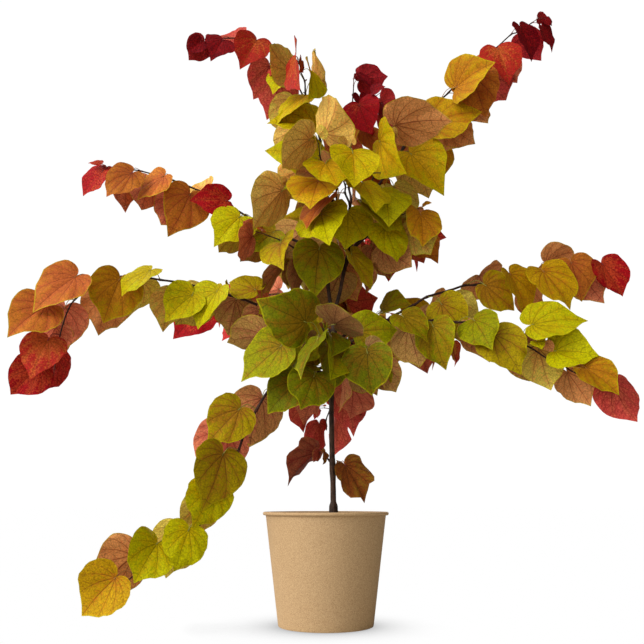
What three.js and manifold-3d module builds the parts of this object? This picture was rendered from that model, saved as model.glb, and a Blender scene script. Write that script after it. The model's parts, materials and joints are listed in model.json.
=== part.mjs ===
// A young redbud in a paper pot, in millimetres, +Z up, origin at the centre of the pot's underside.
// Limbs are tapering tubes. Each mass of foliage is one shoot with side shoots, grown by a seeded
// rule, with stalked heart-shaped leaves fused on. A leaf that would touch another thing is skipped.
import * as THREE from 'three';
import { mergeVertices } from 'three/addons/utils/BufferGeometryUtils.js';
import Module from 'manifold-3d';

const wasm = await Module();
wasm.setup();

// ---- driving sizes ----

const gap = 0.3; // between neighbouring solids

const pot = {
  footRadius: 68.7,
  wallTopRadius: 88.7,
  rimRadius: 93,
  height: 160,
  rollRadius: 2.5,
  wall: 1.4,
  base: 1.6,
  rollTurn: 162, // degrees from outward, over the top, to where the rolled rim meets the inside
  rollSteps: 5,
  facets: 36,
};

const mixTop = 148; // level of the potting mix, below the rim

const leafForm = {
  outlineSteps: 8,
  gather: 0.38, // how much closer the outline's points stand at the tip
  back: 0.74, // reach of the lobes, as a share of the length from stalk to tip
  power: 1.05,
  tip: 0.26,
  tipSpread: 12, // degrees on each side that the drawn-out tip takes
  fold: 0.1,
  droop: 0.16,
  thickness: 0.9,
  fullness: 1.2, // whole length over the length from stalk to tip
};

// How a leaf stands at its node: each pair is what the lowest and the highest throw of the dice give.
const habit = {
  tries: 16,
  size: [0.88, 1.12], // of the shoot's leaf size there
  smallerEachTry: 0.015,
  rising: 0.18, // share of the leaves whose stalk stands up
  lift: { rising: [45, 75], hanging: [-15, 35] }, // degrees above level, at the stalk's foot
  outward: { side: [75, 25], end: [0, 15] }, // degrees away from the shoot's heading
  stalk: [0.26, 0.5], // of the leaf's size
  stalkBend: 0.55, // share of the stalk before it bends over
  bendDown: 50,
  hang: { rising: [80, 116], hanging: [8, 54] }, // degrees from straight down to the midrib
  turn: [-30, 70],
  open: 90, // degrees from the heading to the way the upper face looks
  openSpread: [-40, 40],
  faceLift: [5, 45],
  curl: [0.4, 1.4],
};

const stalkRadius = 0.55;
const stalkRooting = 3; // how far below its node a stalk is rooted in the stem
const stalkInLeaf = 0.5; // from the stalk's end to the foot of the blade

// What a leaf keeps clear of.
const clearance = 1.5;
const stalkRoom = 0.8; // half the width that a stalk takes
const shootClearance = 4;
const lowestLeaf = 12;
const potRoom = { level: mixTop + 20, radius: pot.rimRadius + 8 };
const edgeAllowance = 1.05; // the outline's straight edges cut the round lobes by so much
const reachAllowance = { leaf: 2, stem: 6, stalk: 25 }; // in the rough tests before the exact ones

// Shoots: zigzag is how far a node stands out, uneven how much its steps differ.
const mainHabit = { zigzag: 1.8, uneven: 0.45, radius: [2.2, 0.9] };
const sideHabit = { zigzag: 1.5, uneven: 0.3, radius: [1.6, 0.9], shorter: 0.3 };

const sides = { trunk: 8, limb: 6, shoot: 3 };
const flareFade = 14; // height over which the trunk's root flare falls to about a third
const facetAllowance = 1.15; // a faceted tube lies inside its radius, so its room is so much wider

// heading: degrees in plan from +X towards +Y. pitch: degrees above level. Both run from foot to tip.
// radius: of the limb itself. room: radius that the leaves and shoots keep clear of.
const limbs = {
  trunk: {
    start: [11.5, 0, mixTop + gap],
    length: 314,
    heading: [180, 180],
    pitch: [90, 88, 90, 94, 86],
    steps: 16,
    radius: [4.2, 3.4],
    room: [6, 4],
    flare: 1.9,
  },
  leaderLeft: {
    parent: 'trunk',
    at: 1,
    length: 84,
    heading: [180, 180],
    pitch: [74, 86, 89],
    steps: 5,
    radius: [3, 2.6],
    room: [3.6, 3],
  },
  leaderRight: {
    parent: 'trunk',
    at: 1,
    length: 132,
    heading: [-5, -5],
    pitch: [66, 80, 76, 68],
    steps: 7,
    radius: [3, 2.6],
    room: [3.8, 3.1],
  },
  boughRight: {
    parent: 'trunk',
    at: 0.8,
    length: 84,
    heading: [5, 0],
    pitch: [34, 27],
    steps: 5,
    radius: [2.6, 2.3],
    room: [3.6, 3],
  },
  boughLeft: {
    parent: 'trunk',
    at: 0.885,
    length: 86,
    heading: [176, 180],
    pitch: [30, 18],
    steps: 5,
    radius: [2.5, 2.2],
    room: [3.4, 2.8],
  },
  boughUpper: {
    parent: 'leaderLeft',
    at: 1,
    length: 46,
    heading: [184, 186],
    pitch: [44, 27],
    steps: 4,
    radius: [2.4, 2.2],
    room: [2.6, 2.3],
  },
  boughLow: {
    parent: 'trunk',
    at: 0.73,
    length: 60,
    heading: [190, 192],
    pitch: [-8, -14],
    steps: 4,
    radius: [2.5, 2.2],
    room: [3, 2.6],
  },
};

const masses = {
  foliageRightUpper: {
    parent: 'boughRight',
    at: 1,
    length: 385,
    nodes: 14,
    heading: [0, 8, 4],
    pitch: [36, 30, 16, 10, 18, 6, 2],
    leaf: [60, 80, 86, 80, 60],
    side: 1,
    seed: 2,
    shade: 'gold',
  },
  foliageRightLower: {
    parent: 'boughRight',
    at: 1,
    length: 345,
    nodes: 13,
    heading: [-12, -6, -14],
    pitch: [8, 2, -6, -22, -34, -30, -28],
    leaf: [80, 80, 84, 84, 66],
    side: -1,
    seed: 14,
    shade: 'green',
  },
  foliageLeft: {
    parent: 'boughLeft',
    at: 1,
    length: 440,
    nodes: 18,
    heading: [178, 184, 190, 190],
    pitch: [20, 20, 14, 8, 0, -38, -78, -88],
    leaf: [64, 78, 84, 88, 64],
    side: 1,
    seed: 10,
    shade: 'lime',
  },
  foliageLowLeft: {
    parent: 'boughLow',
    at: 1,
    length: 400,
    nodes: 13,
    heading: [192, 196, 188, 192],
    pitch: [-22, -54, -68, -72, -60, -44, -30, -44],
    leaf: [84, 88, 68, 86, 90],
    side: 1,
    seed: 4,
    shade: 'lime',
  },
  foliageUpperLeft: {
    parent: 'boughUpper',
    at: 1,
    length: 322,
    nodes: 13,
    heading: [186, 184, 188],
    pitch: [25, 25, 31, 27, 20, 14, 0],
    leaf: [74, 80, 74, 56],
    side: -1,
    seed: 17,
    shade: 'rust',
  },
  foliageUpRight: {
    parent: 'leaderRight',
    at: 1,
    length: 478,
    nodes: 19,
    heading: [-8, -4, 4],
    pitch: [68, 62, 52, 54, 44, 44, 28],
    leaf: [90, 92, 86, 74, 52],
    side: 1,
    sides: { count: 2, first: 0.12, last: 0.34, length: 120, nodes: 4, spread: 60, lift: 8, sag: 40 },
    seed: 1,
    shade: 'gold',
  },
  foliageTopLeft: {
    parent: 'leaderLeft',
    at: 1,
    length: 490,
    nodes: 18,
    heading: [178, 182, 186],
    pitch: [88, 92, 88, 80, 70, 64, 58, 6, -12],
    leaf: [86, 82, 76, 66, 48],
    side: -1,
    sides: { count: 3, first: 0.16, last: 0.5, length: 110, nodes: 4, spread: 80, lift: -30, sag: 50 },
    seed: 20,
    shade: 'lime',
  },
  foliageTopMiddle: {
    parent: 'leaderRight',
    at: 0.9,
    length: 285,
    nodes: 12,
    heading: [120, 60, 10],
    pitch: [80, 86, 88, 84],
    leaf: [84, 82, 70, 50],
    side: 1,
    sides: { count: 3, first: 0.25, last: 0.66, length: 95, nodes: 4, spread: 100, lift: -35, sag: 40 },
    seed: 11,
    shade: 'rust',
  },
  foliageFrontHigh: {
    parent: 'leaderLeft',
    at: 0.98,
    length: 190,
    nodes: 8,
    heading: [-70, -80],
    pitch: [72, 62, 40, 14],
    leaf: [84, 94, 90, 76],
    side: 1,
    open: 35,
    sides: { count: 2, first: 0.5, last: 0.8, length: 80, nodes: 3, spread: 70, lift: -20, sag: 30 },
    seed: 17,
    shade: 'lime',
  },
  foliageFrontLow: {
    parent: 'trunk',
    at: 0.76,
    length: 130,
    nodes: 7,
    heading: [-110, -86],
    pitch: [30, 6, -24],
    leaf: [78, 84, 74],
    side: 1,
    open: 35,
    sides: { count: 2, first: 0.3, last: 0.6, length: 80, nodes: 3, spread: 60, lift: 0, sag: 40 },
    seed: 14,
    shade: 'green',
  },
  foliageBackHigh: {
    parent: 'leaderRight',
    at: 0.55,
    length: 300,
    nodes: 11,
    heading: [70, 84],
    pitch: [50, 36, 18, 2],
    leaf: [70, 84, 80, 64],
    side: 1,
    open: 60,
    sides: { count: 3, first: 0.25, last: 0.7, length: 100, nodes: 4, spread: 60, lift: 0, sag: 40 },
    seed: 8,
    shade: 'rust',
  },
  foliageBackLeft: {
    parent: 'trunk',
    at: 0.93,
    length: 370,
    nodes: 13,
    heading: [118, 128],
    pitch: [40, 24, 8, -16],
    leaf: [70, 84, 80, 64],
    side: 1,
    open: 60,
    sides: { count: 2, first: 0.25, last: 0.6, length: 100, nodes: 4, spread: 60, lift: 0, sag: 40 },
    seed: 1,
    shade: 'rust',
  },
  foliageBackRight: {
    parent: 'trunk',
    at: 0.84,
    length: 370,
    nodes: 13,
    heading: [58, 46],
    pitch: [34, 18, 2, -22],
    leaf: [70, 84, 80, 64],
    side: 1,
    open: 60,
    sides: { count: 2, first: 0.25, last: 0.6, length: 100, nodes: 4, spread: 60, lift: 0, sag: 40 },
    seed: 8,
    shade: 'gold',
  },
  foliageBackLow: {
    parent: 'trunk',
    at: 0.69,
    length: 230,
    nodes: 9,
    heading: [86, 100],
    pitch: [12, -6, -30, -44],
    leaf: [70, 80, 76, 60],
    side: 1,
    open: 60,
    seed: 5,
    shade: 'red',
  },
  spurLeft: {
    parent: 'trunk',
    at: 0.26,
    length: 14,
    nodes: 1,
    heading: [190, 190],
    pitch: [60, 30],
    leaf: [78, 78],
    side: 1,
    seed: 1,
    shade: 'rust',
  },
  spurRight: {
    parent: 'trunk',
    at: 0.22,
    length: 14,
    nodes: 1,
    heading: [0, 0],
    pitch: [60, 30],
    leaf: [84, 84],
    side: 1,
    seed: 7,
    shade: 'rust',
  },
};

// Short leafy shoots round the two leaders and round the trunk, each turned on from the one before.
const turnOn = 137.5;
const crown = {
  seeds: [51, 6, 5, 7],
  parents: ['leaderLeft', 'leaderRight'],
  first: 0.55,
  last: 0.95,
  heading: 205,
  shape: { length: 125, nodes: 5, pitch: [56, 34, 8], leaf: [78, 84, 74], side: 1, open: 55 },
  shades: ['green', 'gold', 'lime', 'rust'],
};
const waist = {
  seeds: [20, 2, 18],
  parents: ['trunk'],
  first: 0.66,
  last: 0.9,
  heading: 250,
  shape: { length: 70, nodes: 4, pitch: [30, 0, -30], leaf: [74, 78, 68], side: 1, open: 30 },
  shades: ['green', 'green', 'green'],
};

function addShoots(prefix, { seeds, parents, first, last, heading, shape, shades }) {
  seeds.forEach((seed, i) => {
    const turn = heading + turnOn * i;
    masses[`${prefix}${i + 1}`] = {
      ...shape,
      parent: parents[i % parents.length],
      at: first + ((last - first) * i) / (seeds.length - 1),
      heading: [turn, turn],
      seed,
      shade: shades[i],
    };
  });
}

addShoots('foliageCrown', crown);
addShoots('foliageWaist', waist);

// ---- numbers ----

// The same seed always gives the same row of numbers from 0 to 1.
function makeDice(seed) {
  let state = seed >>> 0;
  return () => {
    state = (state + 0x6d2b79f5) >>> 0;
    let t = Math.imul(state ^ (state >>> 15), state | 1);
    t ^= t + Math.imul(t ^ (t >>> 7), t | 61);
    return ((t ^ (t >>> 14)) >>> 0) / 4294967296;
  };
}

// Value at a share from 0 to 1 of a list whose entries are evenly spaced.
function ramp(values, share) {
  const x = Math.min(Math.max(share, 0), 1) * (values.length - 1);
  const k = Math.min(Math.floor(x), values.length - 2);
  return values[k] + (values[k + 1] - values[k]) * (x - k);
}

const radians = (degrees) => (degrees * Math.PI) / 180;
const upward = new THREE.Vector3(0, 0, 1);

function aim(heading, pitch) {
  const h = radians(heading);
  const p = radians(pitch);
  return new THREE.Vector3(Math.cos(h) * Math.cos(p), Math.sin(h) * Math.cos(p), Math.sin(p));
}

const along = (from, direction, distance) => from.clone().addScaledVector(direction, distance);
const middleOf = (a, b) => a.clone().add(b).multiplyScalar(0.5);

// ---- lines of limbs and shoots ----

// A line whose heading and pitch follow their ramps, in steps that may be uneven.
function walk(limb) {
  const dice = makeDice((limb.seed ?? 1) + 500);
  const uneven = limb.uneven ?? 0;
  const shares = Array.from({ length: limb.steps }, () => 1 + uneven * (2 * dice() - 1));
  const total = shares.reduce((sum, share) => sum + share, 0);
  const points = [limb.start.clone()];
  let gone = 0;
  for (const share of shares) {
    const step = share / total;
    const direction = aim(ramp(limb.heading, gone + step / 2), ramp(limb.pitch, gone + step / 2));
    points.push(along(points[points.length - 1], direction, step * limb.length));
    gone += step;
  }
  return points;
}

// Each node of a shoot stands out to one side and then to the other.
function zigzag(points, limb, amount) {
  return points.map((point, i) => {
    if (i === 0) return point.clone();
    const direction = point.clone().sub(points[i - 1]).normalize();
    let across = direction.clone().cross(upward);
    if (across.length() > 0.2) across.normalize();
    else across = aim(ramp(limb.heading, i / (points.length - 1)), 0).cross(upward);
    const turn = i % 2 ? 1 : -1;
    return along(along(point, across, turn * amount), upward, 0.5 * turn * amount);
  });
}

function pointOn(points, at) {
  const x = at * (points.length - 1);
  const k = Math.min(Math.floor(x), points.length - 2);
  return points[k].clone().lerp(points[k + 1], x - k);
}

const radiusAt = (limb, i, count) => limb.radius[0] + ((limb.radius[1] - limb.radius[0]) * i) / count;

function stemsOf(limb, points) {
  const count = points.length - 1;
  return points.slice(1).map((point, i) => ({
    a: points[i],
    b: point,
    radius: Math.max(radiusAt(limb, i, count), radiusAt(limb, i + 1, count)),
  }));
}

function mainShoot(mass) {
  const shoot = {
    ...mass,
    start: pointOn(lines[mass.parent], mass.at),
    steps: mass.nodes,
    uneven: mainHabit.uneven,
    radius: mainHabit.radius,
  };
  shoot.line = zigzag(walk(shoot), shoot, mainHabit.zigzag);
  return shoot;
}

function sideShoot(mass, main, j) {
  const { first, last, count, length, nodes, spread, lift, sag } = mass.sides;
  const node = Math.floor((first + ((last - first) * j) / Math.max(count - 1, 1)) * mass.nodes + 0.5);
  const share = node / mass.nodes;
  const turn = ramp(mass.heading, share) + spread * (j % 2 ? 1 : -1) * mass.side;
  const tilt = ramp(mass.pitch, share) + lift;
  const size = ramp(mass.leaf, share);
  const shoot = {
    ...mass,
    start: main.line[node],
    length: length * (1 - sideHabit.shorter * share),
    nodes,
    steps: nodes,
    uneven: sideHabit.uneven,
    heading: [turn, turn],
    pitch: [tilt, tilt - sag / 2, tilt - sag],
    leaf: [size, size],
    radius: sideHabit.radius,
    seed: mass.seed + 7 * (j + 1),
  };
  shoot.line = zigzag(walk(shoot), shoot, sideHabit.zigzag);
  return shoot;
}

// ---- leaves ----

// Distance from the stalk's foot to the blade's edge: round lobes and a drawn-out tip.
function leafRadius(angle) {
  const lobes = leafForm.back * Math.abs(Math.cos(angle / 2)) ** leafForm.power;
  return lobes + leafForm.tip * Math.exp(-Math.abs(angle) / radians(leafForm.tipSpread));
}

// A point of the blade's edge at an angle from the midrib, lifted by the fold and let down by the droop.
function leafPoint(leaf, angle) {
  const radius = leafRadius(angle) * leaf.length;
  const x = radius * Math.sin(angle);
  const y = radius * Math.cos(angle);
  const sag = (leafForm.droop * leaf.curl * (y * y + 0.5 * x * x)) / leaf.length;
  const point = along(along(leaf.base, leaf.across, x), leaf.along, y);
  return along(point, leaf.face, leafForm.fold * Math.abs(x) - sag);
}

// The edge's points are closer together towards the tip.
function outlineAngles() {
  const n = leafForm.outlineSteps;
  return Array.from({ length: n + 1 }, (_, i) => {
    const u = (2 * i) / n - 1;
    return Math.PI * ((1 - leafForm.gather) * u + leafForm.gather * u ** 3);
  });
}

const angles = outlineAngles();

// What the clearance tests need of a leaf: its triangles, its edges and some of its points.
function measureLeaf(leaf) {
  const edge = angles.map((angle) => leafPoint(leaf, angle));
  const count = edge.length;
  const middle = new THREE.Vector3();
  edge.forEach((point) => middle.addScaledVector(point, 1 / count));
  const wide = edge.map((point) => middle.clone().lerp(point, edgeAllowance));
  const spans = [];
  for (let i = 1; i < count; i += 1) spans.push([wide[i - 1], wide[i]]);
  for (let i = 2; i < count - 2; i += 2) spans.push([leaf.base, wide[i]]);
  leaf.edge = edge;
  leaf.triangles = edge.slice(2, -1).map((point, i) => [leaf.base, edge[i + 1], point]);
  leaf.segments = [-clearance, 0, clearance].flatMap((offset) =>
    spans.map(([a, b]) => [along(a, leaf.face, offset), along(b, leaf.face, offset)]));
  leaf.points = [
    ...edge,
    ...edge.map((point) => middleOf(point, leaf.base)),
    ...edge.slice(1).map((point, i) => middleOf(edge[i], point)),
  ];
  leaf.middle = middle;
  leaf.reach = Math.max(...edge.map((point) => point.distanceTo(middle))) + reachAllowance.leaf;
  return leaf;
}

// Whether the line from a to b passes through the triangle.
function pierces([a, b], [p, q, r]) {
  const direction = b.clone().sub(a);
  const e1 = q.clone().sub(p);
  const e2 = r.clone().sub(p);
  const h = direction.clone().cross(e2);
  let determinant = e1.dot(h);
  if (Math.abs(determinant) < 1e-9) determinant = 1e-9;
  const s = a.clone().sub(p);
  const u = s.dot(h) / determinant;
  if (u < 0 || u > 1) return false;
  const k = s.cross(e1);
  const v = direction.dot(k) / determinant;
  const t = e2.dot(k) / determinant;
  return v >= 0 && u + v <= 1 && t >= 0 && t <= 1;
}

const anyPierces = (segments, triangles) =>
  segments.some((segment) => triangles.some((triangle) => pierces(segment, triangle)));

function distanceToStem(point, { a, b }) {
  const ab = b.clone().sub(a);
  const share = Math.min(Math.max(point.clone().sub(a).dot(ab) / ab.lengthSq(), 0), 1);
  return point.distanceTo(along(a, ab, share));
}

const nearStem = (points, stem, room) =>
  points.some((point) => distanceToStem(point, stem) < stem.radius + room);

function isClear(leaf) {
  const low = leaf.points.filter((point) => point.z < potRoom.level);
  if (leaf.points.some((point) => point.z < lowestLeaf)) return false;
  if (low.some((point) => Math.hypot(point.x, point.y) < potRoom.radius)) return false;
  const stalkPoints = [leaf.stalk[1], middleOf(leaf.stalk[1], leaf.stalk[2]), leaf.stalk[2]];
  if (stems.some((stem) => nearStem(stalkPoints, stem, clearance))) return false;
  const touchesStem = stems.some((stem) => {
    const away = middleOf(stem.a, stem.b).distanceTo(leaf.middle);
    if (away >= stem.a.distanceTo(stem.b) / 2 + leaf.reach + reachAllowance.stem) return false;
    return nearStem(leaf.points, stem, clearance) || anyPierces([[stem.a, stem.b]], leaf.triangles);
  });
  if (touchesStem) return false;
  const stalkLines = [[leaf.stalk[0], leaf.stalk[1]], [leaf.stalk[1], leaf.stalk[2]]];
  const stalkMiddle = middleOf(leaf.stalk[0], leaf.stalk[2]);
  return !leaves.some((other) => {
    if (other.middle.distanceTo(leaf.middle) < other.reach + leaf.reach) {
      if (anyPierces(leaf.segments, other.triangles)) return true;
      if (anyPierces(other.segments, leaf.triangles)) return true;
    }
    if (other.middle.distanceTo(stalkMiddle) >= other.reach + reachAllowance.stalk) return false;
    if (anyPierces(stalkLines, other.triangles)) return true;
    return stalkLines.some(([a, b]) => nearStem(other.points, { a, b, radius: stalkRoom }, clearance));
  });
}

// One leaf at a node: attitudes are tried in the dice's order and the first clear one is kept.
function growLeaf(shoot, k, dice) {
  const share = k / Math.max(shoot.nodes - 1, 1);
  const heading = ramp(shoot.heading, share);
  const side = shoot.side * (k % 2 ? 1 : -1);
  const isLast = k === shoot.nodes - 1 && shoot.nodes > 1;
  const node = shoot.line[k + 1];
  for (let attempt = 0; attempt < habit.tries; attempt += 1) {
    const [a, b, c, d, e, g] = Array.from({ length: 6 }, dice);
    const size = ramp(shoot.leaf, share) * ramp(habit.size, a) * (1 - habit.smallerEachTry * attempt);
    const way = c < habit.rising ? 'rising' : 'hanging';
    const lift = ramp(habit.lift[way], d);
    const outward = heading + side * ramp(isLast ? habit.outward.end : habit.outward.side, b);
    const stalkLength = size * ramp(habit.stalk, e);
    const bend = along(node, aim(outward, lift), stalkLength * habit.stalkBend);
    const over = aim(outward, lift - habit.bendDown);
    const stalkEnd = along(bend, over, stalkLength * (1 - habit.stalkBend));
    const hang = ramp(habit.hang[way], e);
    const midrib = aim(heading + side * ramp(habit.turn, g), hang - 90);
    const open = (shoot.open ?? habit.open) + ramp(habit.openSpread, b);
    const looks = aim(heading + side * open, ramp(habit.faceLift, d));
    const face = looks.addScaledVector(midrib, -looks.dot(midrib)).normalize();
    const leaf = measureLeaf({
      base: along(stalkEnd, midrib, stalkInLeaf),
      along: midrib,
      across: midrib.clone().cross(face),
      face,
      length: size / leafForm.fullness,
      curl: ramp(habit.curl, g),
      stalk: [node, bend, stalkEnd],
      root: along(node, shoot.line[k].clone().sub(node).normalize(), stalkRooting),
    });
    if (!isClear(leaf)) continue;
    leaves.push(leaf);
    stems.push(...stemsOf({ radius: [stalkRoom, stalkRoom] }, leaf.stalk));
    return [leaf];
  }
  return [];
}

// ---- growing the plant ----

const lines = {};
const stems = [];
const leaves = [];

for (const [name, limb] of Object.entries(limbs)) {
  limb.start = limb.parent ? pointOn(lines[limb.parent], limb.at) : new THREE.Vector3(...limb.start);
  lines[name] = walk(limb);
  stems.push(...stemsOf({ radius: limb.room }, lines[name]));
}

const growth = Object.entries(masses).map(([name, mass]) => {
  const main = mainShoot(mass);
  const own = stemsOf(main, main.line);
  stems.push(...own);
  return { name, mass, shoots: [main], own };
});

for (const { mass, shoots, own } of growth) {
  for (let j = 0; j < (mass.sides?.count ?? 0); j += 1) {
    const side = sideShoot(mass, shoots[0], j);
    const probe = [0.33, 0.66, 1].flatMap((share) =>
      side.line.slice(1).map((point, i) => side.line[i].clone().lerp(point, share)));
    const others = stems.filter((stem) => !own.includes(stem));
    if (others.some((stem) => nearStem(probe, stem, shootClearance))) continue;
    stems.push(...stemsOf(side, side.line));
    shoots.push(side);
  }
}

for (const { mass, shoots } of growth) {
  const dice = makeDice(mass.seed);
  for (const shoot of shoots) {
    shoot.leaves = Array.from({ length: shoot.nodes }, (_, k) => growLeaf(shoot, k, dice)).flat();
  }
}

// ---- solids ----

function toManifold(positions, triangles) {
  return new wasm.Manifold(new wasm.Mesh({
    numProp: 3,
    vertProperties: new Float32Array(positions.flatMap((point) => point.toArray())),
    triVerts: new Uint32Array(triangles.flat()),
  }));
}

function fromGeometry(geometry) {
  geometry.deleteAttribute('normal');
  geometry.deleteAttribute('uv');
  const merged = mergeVertices(geometry, 1e-4);
  return new wasm.Manifold(new wasm.Mesh({
    numProp: 3,
    vertProperties: new Float32Array(merged.attributes.position.array),
    triVerts: new Uint32Array(merged.index.array),
  }));
}

function toGeometry(manifold) {
  const mesh = manifold.getMesh();
  const geometry = new THREE.BufferGeometry();
  geometry.setAttribute('position', new THREE.BufferAttribute(new Float32Array(mesh.vertProperties), 3));
  geometry.setIndex(new THREE.BufferAttribute(new Uint32Array(mesh.triVerts), 1));
  geometry.computeVertexNormals();
  return geometry;
}

// A closed tube: a ring of points around each point of the line, the rings turned as little as can be.
function tube(line, radiusOf, count) {
  const positions = [];
  const triangles = [];
  const last = line.length - 1;
  let across = null;
  line.forEach((point, i) => {
    const before = line[Math.max(i - 1, 0)];
    const after = line[Math.min(i + 1, last)];
    const tangent = after.clone().sub(before).normalize();
    if (!across) across = Math.abs(tangent.z) < 0.9 ? upward.clone() : new THREE.Vector3(1, 0, 0);
    across.addScaledVector(tangent, -across.dot(tangent)).normalize();
    const third = tangent.clone().cross(across);
    for (let j = 0; j < count; j += 1) {
      const angle = (2 * Math.PI * j) / count;
      const radius = radiusOf(i);
      const beside = along(point, across, radius * Math.cos(angle));
      positions.push(along(beside, third, radius * Math.sin(angle)));
    }
  });
  for (let i = 0; i < last; i += 1) {
    for (let j = 0; j < count; j += 1) {
      const a = i * count + j;
      const b = i * count + ((j + 1) % count);
      triangles.push([a, b, b + count], [a, b + count, a + count]);
    }
  }
  const end = last * count;
  for (let j = 1; j < count - 1; j += 1) triangles.push([0, j + 1, j], [end, end + j, end + j + 1]);
  return toManifold(positions, triangles);
}

function limbTube(limb, line, count, extra = 0) {
  const steps = line.length - 1;
  const radiusOf = (i) => {
    const flare = (limb.flare ?? 0) * Math.exp((-i * limb.length) / steps / flareFade);
    return radiusAt(limb, i, steps) + flare + extra;
  };
  return tube(line, radiusOf, count);
}

const sidesOf = (name) => (name === 'trunk' ? sides.trunk : sides.limb);

// A limb grown all round by the gap, to cut its neighbours clear of it.
function roomFor(name) {
  const limb = limbs[name];
  const line = lines[name].map((point) => point.clone());
  const last = line.length - 1;
  const out = line[last].clone().sub(line[last - 1]).setLength(gap);
  const back = line[0].clone().sub(line[1]).setLength(gap);
  line[last].add(out);
  line[0].add(back);
  return limbTube(limb, line, sidesOf(name), gap * facetAllowance);
}

// A leaf in one piece: the blade's two faces and rim, and a three-sided stalk that runs on from its foot.
function leafSolid(leaf) {
  const half = leafForm.thickness / 2;
  const edge = leaf.edge.slice(1, -1);
  const count = edge.length;
  const foot = [
    along(along(leaf.base, leaf.across, stalkRadius), leaf.face, half),
    along(along(leaf.base, leaf.across, -stalkRadius), leaf.face, half),
    along(leaf.base, leaf.face, -half * 2),
  ];
  const positions = [...foot];
  const triangles = [];
  edge.forEach((point) => positions.push(along(point, leaf.face, half), along(point, leaf.face, -half)));
  const over = (i) => 3 + 2 * i;
  const under = (i) => 4 + 2 * i;
  const middle = (count - 1) / 2;
  for (let i = 0; i < count - 1; i += 1) {
    triangles.push([i < middle ? 1 : 0, over(i + 1), over(i)], [2, under(i), under(i + 1)]);
    triangles.push([over(i), over(i + 1), under(i + 1)], [over(i), under(i + 1), under(i)]);
  }
  triangles.push([1, 0, over(middle)]);
  triangles.push([1, over(0), under(0)], [1, under(0), 2]);
  triangles.push([over(count - 1), 0, 2], [over(count - 1), 2, under(count - 1)]);
  const toBlade = leaf.stalk[2].clone().sub(leaf.root).normalize();
  const turn = new THREE.Quaternion().setFromUnitVectors(leaf.along, toBlade);
  const across = leaf.across.clone().applyQuaternion(turn);
  const face = leaf.face.clone().applyQuaternion(turn);
  const root = positions.length;
  for (const angle of [30, 150, 270]) {
    const beside = along(leaf.root, across, stalkRadius * Math.cos(radians(angle)));
    positions.push(along(beside, face, stalkRadius * Math.sin(radians(angle))));
  }
  for (let j = 0; j < 3; j += 1) {
    const next = (j + 1) % 3;
    triangles.push([j, next, root + next], [j, root + next, root + j]);
  }
  triangles.push([root, root + 1, root + 2]);
  return toManifold(positions, triangles);
}

const largest = (manifold) =>
  manifold.decompose().reduce((best, piece) => (piece.volume() > best.volume() ? piece : best));

// The foot of a mass's stem grown all round by the gap, to cut a stem that leaves the limb beside it.
function collar({ shoots }) {
  const [main] = shoots;
  return limbTube(main, main.line.slice(0, 3), sides.limb, gap * facetAllowance);
}

function foliage({ shoots }, collars) {
  const stemSolid = (shoot) => limbTube(shoot, shoot.line, sides.shoot);
  const pieces = shoots.flatMap((shoot) => [stemSolid(shoot), ...shoot.leaves.map(leafSolid)]);
  const fused = pieces.reduce((sum, piece) => sum.add(piece));
  return [...Object.values(rooms), ...collars].reduce((rest, room) => rest.subtract(room), fused);
}

// ---- the pot and its filling ----

// The wall's outer radius at a level, between the foot and the underside of the rolled rim.
function wallRadius(level) {
  const top = pot.height - 2 * pot.rollRadius;
  return pot.footRadius + ((pot.wallTopRadius - pot.footRadius) * level) / top;
}

function makePot() {
  const rollCentre = [pot.rimRadius - pot.rollRadius, pot.height - pot.rollRadius];
  const wallTop = pot.height - 2 * pot.rollRadius;
  const profile = [
    new THREE.Vector2(0, 0),
    new THREE.Vector2(pot.footRadius, 0),
    new THREE.Vector2(pot.wallTopRadius, wallTop),
  ];
  for (let i = 0; i <= pot.rollSteps; i += 1) {
    const angle = radians(ramp([-90, pot.rollTurn], i / pot.rollSteps));
    profile.push(new THREE.Vector2(
      rollCentre[0] + pot.rollRadius * Math.cos(angle),
      rollCentre[1] + pot.rollRadius * Math.sin(angle),
    ));
  }
  profile.push(
    new THREE.Vector2(pot.wallTopRadius - pot.wall, wallTop),
    new THREE.Vector2(wallRadius(pot.base) - pot.wall, pot.base),
    new THREE.Vector2(0, pot.base),
  );
  return new THREE.LatheGeometry(profile, pot.facets).rotateX(Math.PI / 2);
}

function makeMix() {
  const inset = pot.wall + gap;
  const foot = pot.base + gap;
  const profile = [
    new THREE.Vector2(0, foot),
    new THREE.Vector2(wallRadius(foot) - inset, foot),
    new THREE.Vector2(wallRadius(mixTop) - inset, mixTop),
    new THREE.Vector2(0, mixTop),
  ];
  return new THREE.LatheGeometry(profile, pot.facets).rotateX(Math.PI / 2);
}

// ---- the scene graph ----

const paint = (color, roughness) => new THREE.MeshStandardMaterial({ color, roughness, metalness: 0 });

const kraft = paint('#c09c6c', 0.85);
const peat = paint('#35261b', 0.95);
const bark = paint('#4a3a30', 0.8);
const shades = {
  green: paint('#6f7a24', 0.55),
  lime: paint('#a3a52b', 0.55),
  gold: paint('#c08f35', 0.55),
  rust: paint('#9c4b2c', 0.6),
  red: paint('#9a2630', 0.55),
};

const plant = new THREE.Group();

function addPiece(name, geometry, material) {
  const mesh = new THREE.Mesh(geometry, material);
  mesh.name = name;
  plant.add(mesh);
}

addPiece('pot', toGeometry(fromGeometry(makePot())), kraft);
addPiece('pottingMix', toGeometry(fromGeometry(makeMix())), peat);

const rooms = Object.fromEntries(Object.keys(limbs).map((name) => [name, roomFor(name)]));
const limbNames = Object.keys(limbs);

limbNames.forEach((name, i) => {
  const limb = limbs[name];
  const whole = limbTube(limb, lines[name], sidesOf(name));
  const cut = limbNames.slice(0, i).reduce((rest, earlier) => rest.subtract(rooms[earlier]), whole);
  addPiece(name, toGeometry(largest(cut)), bark);
});

const collars = [];

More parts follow.
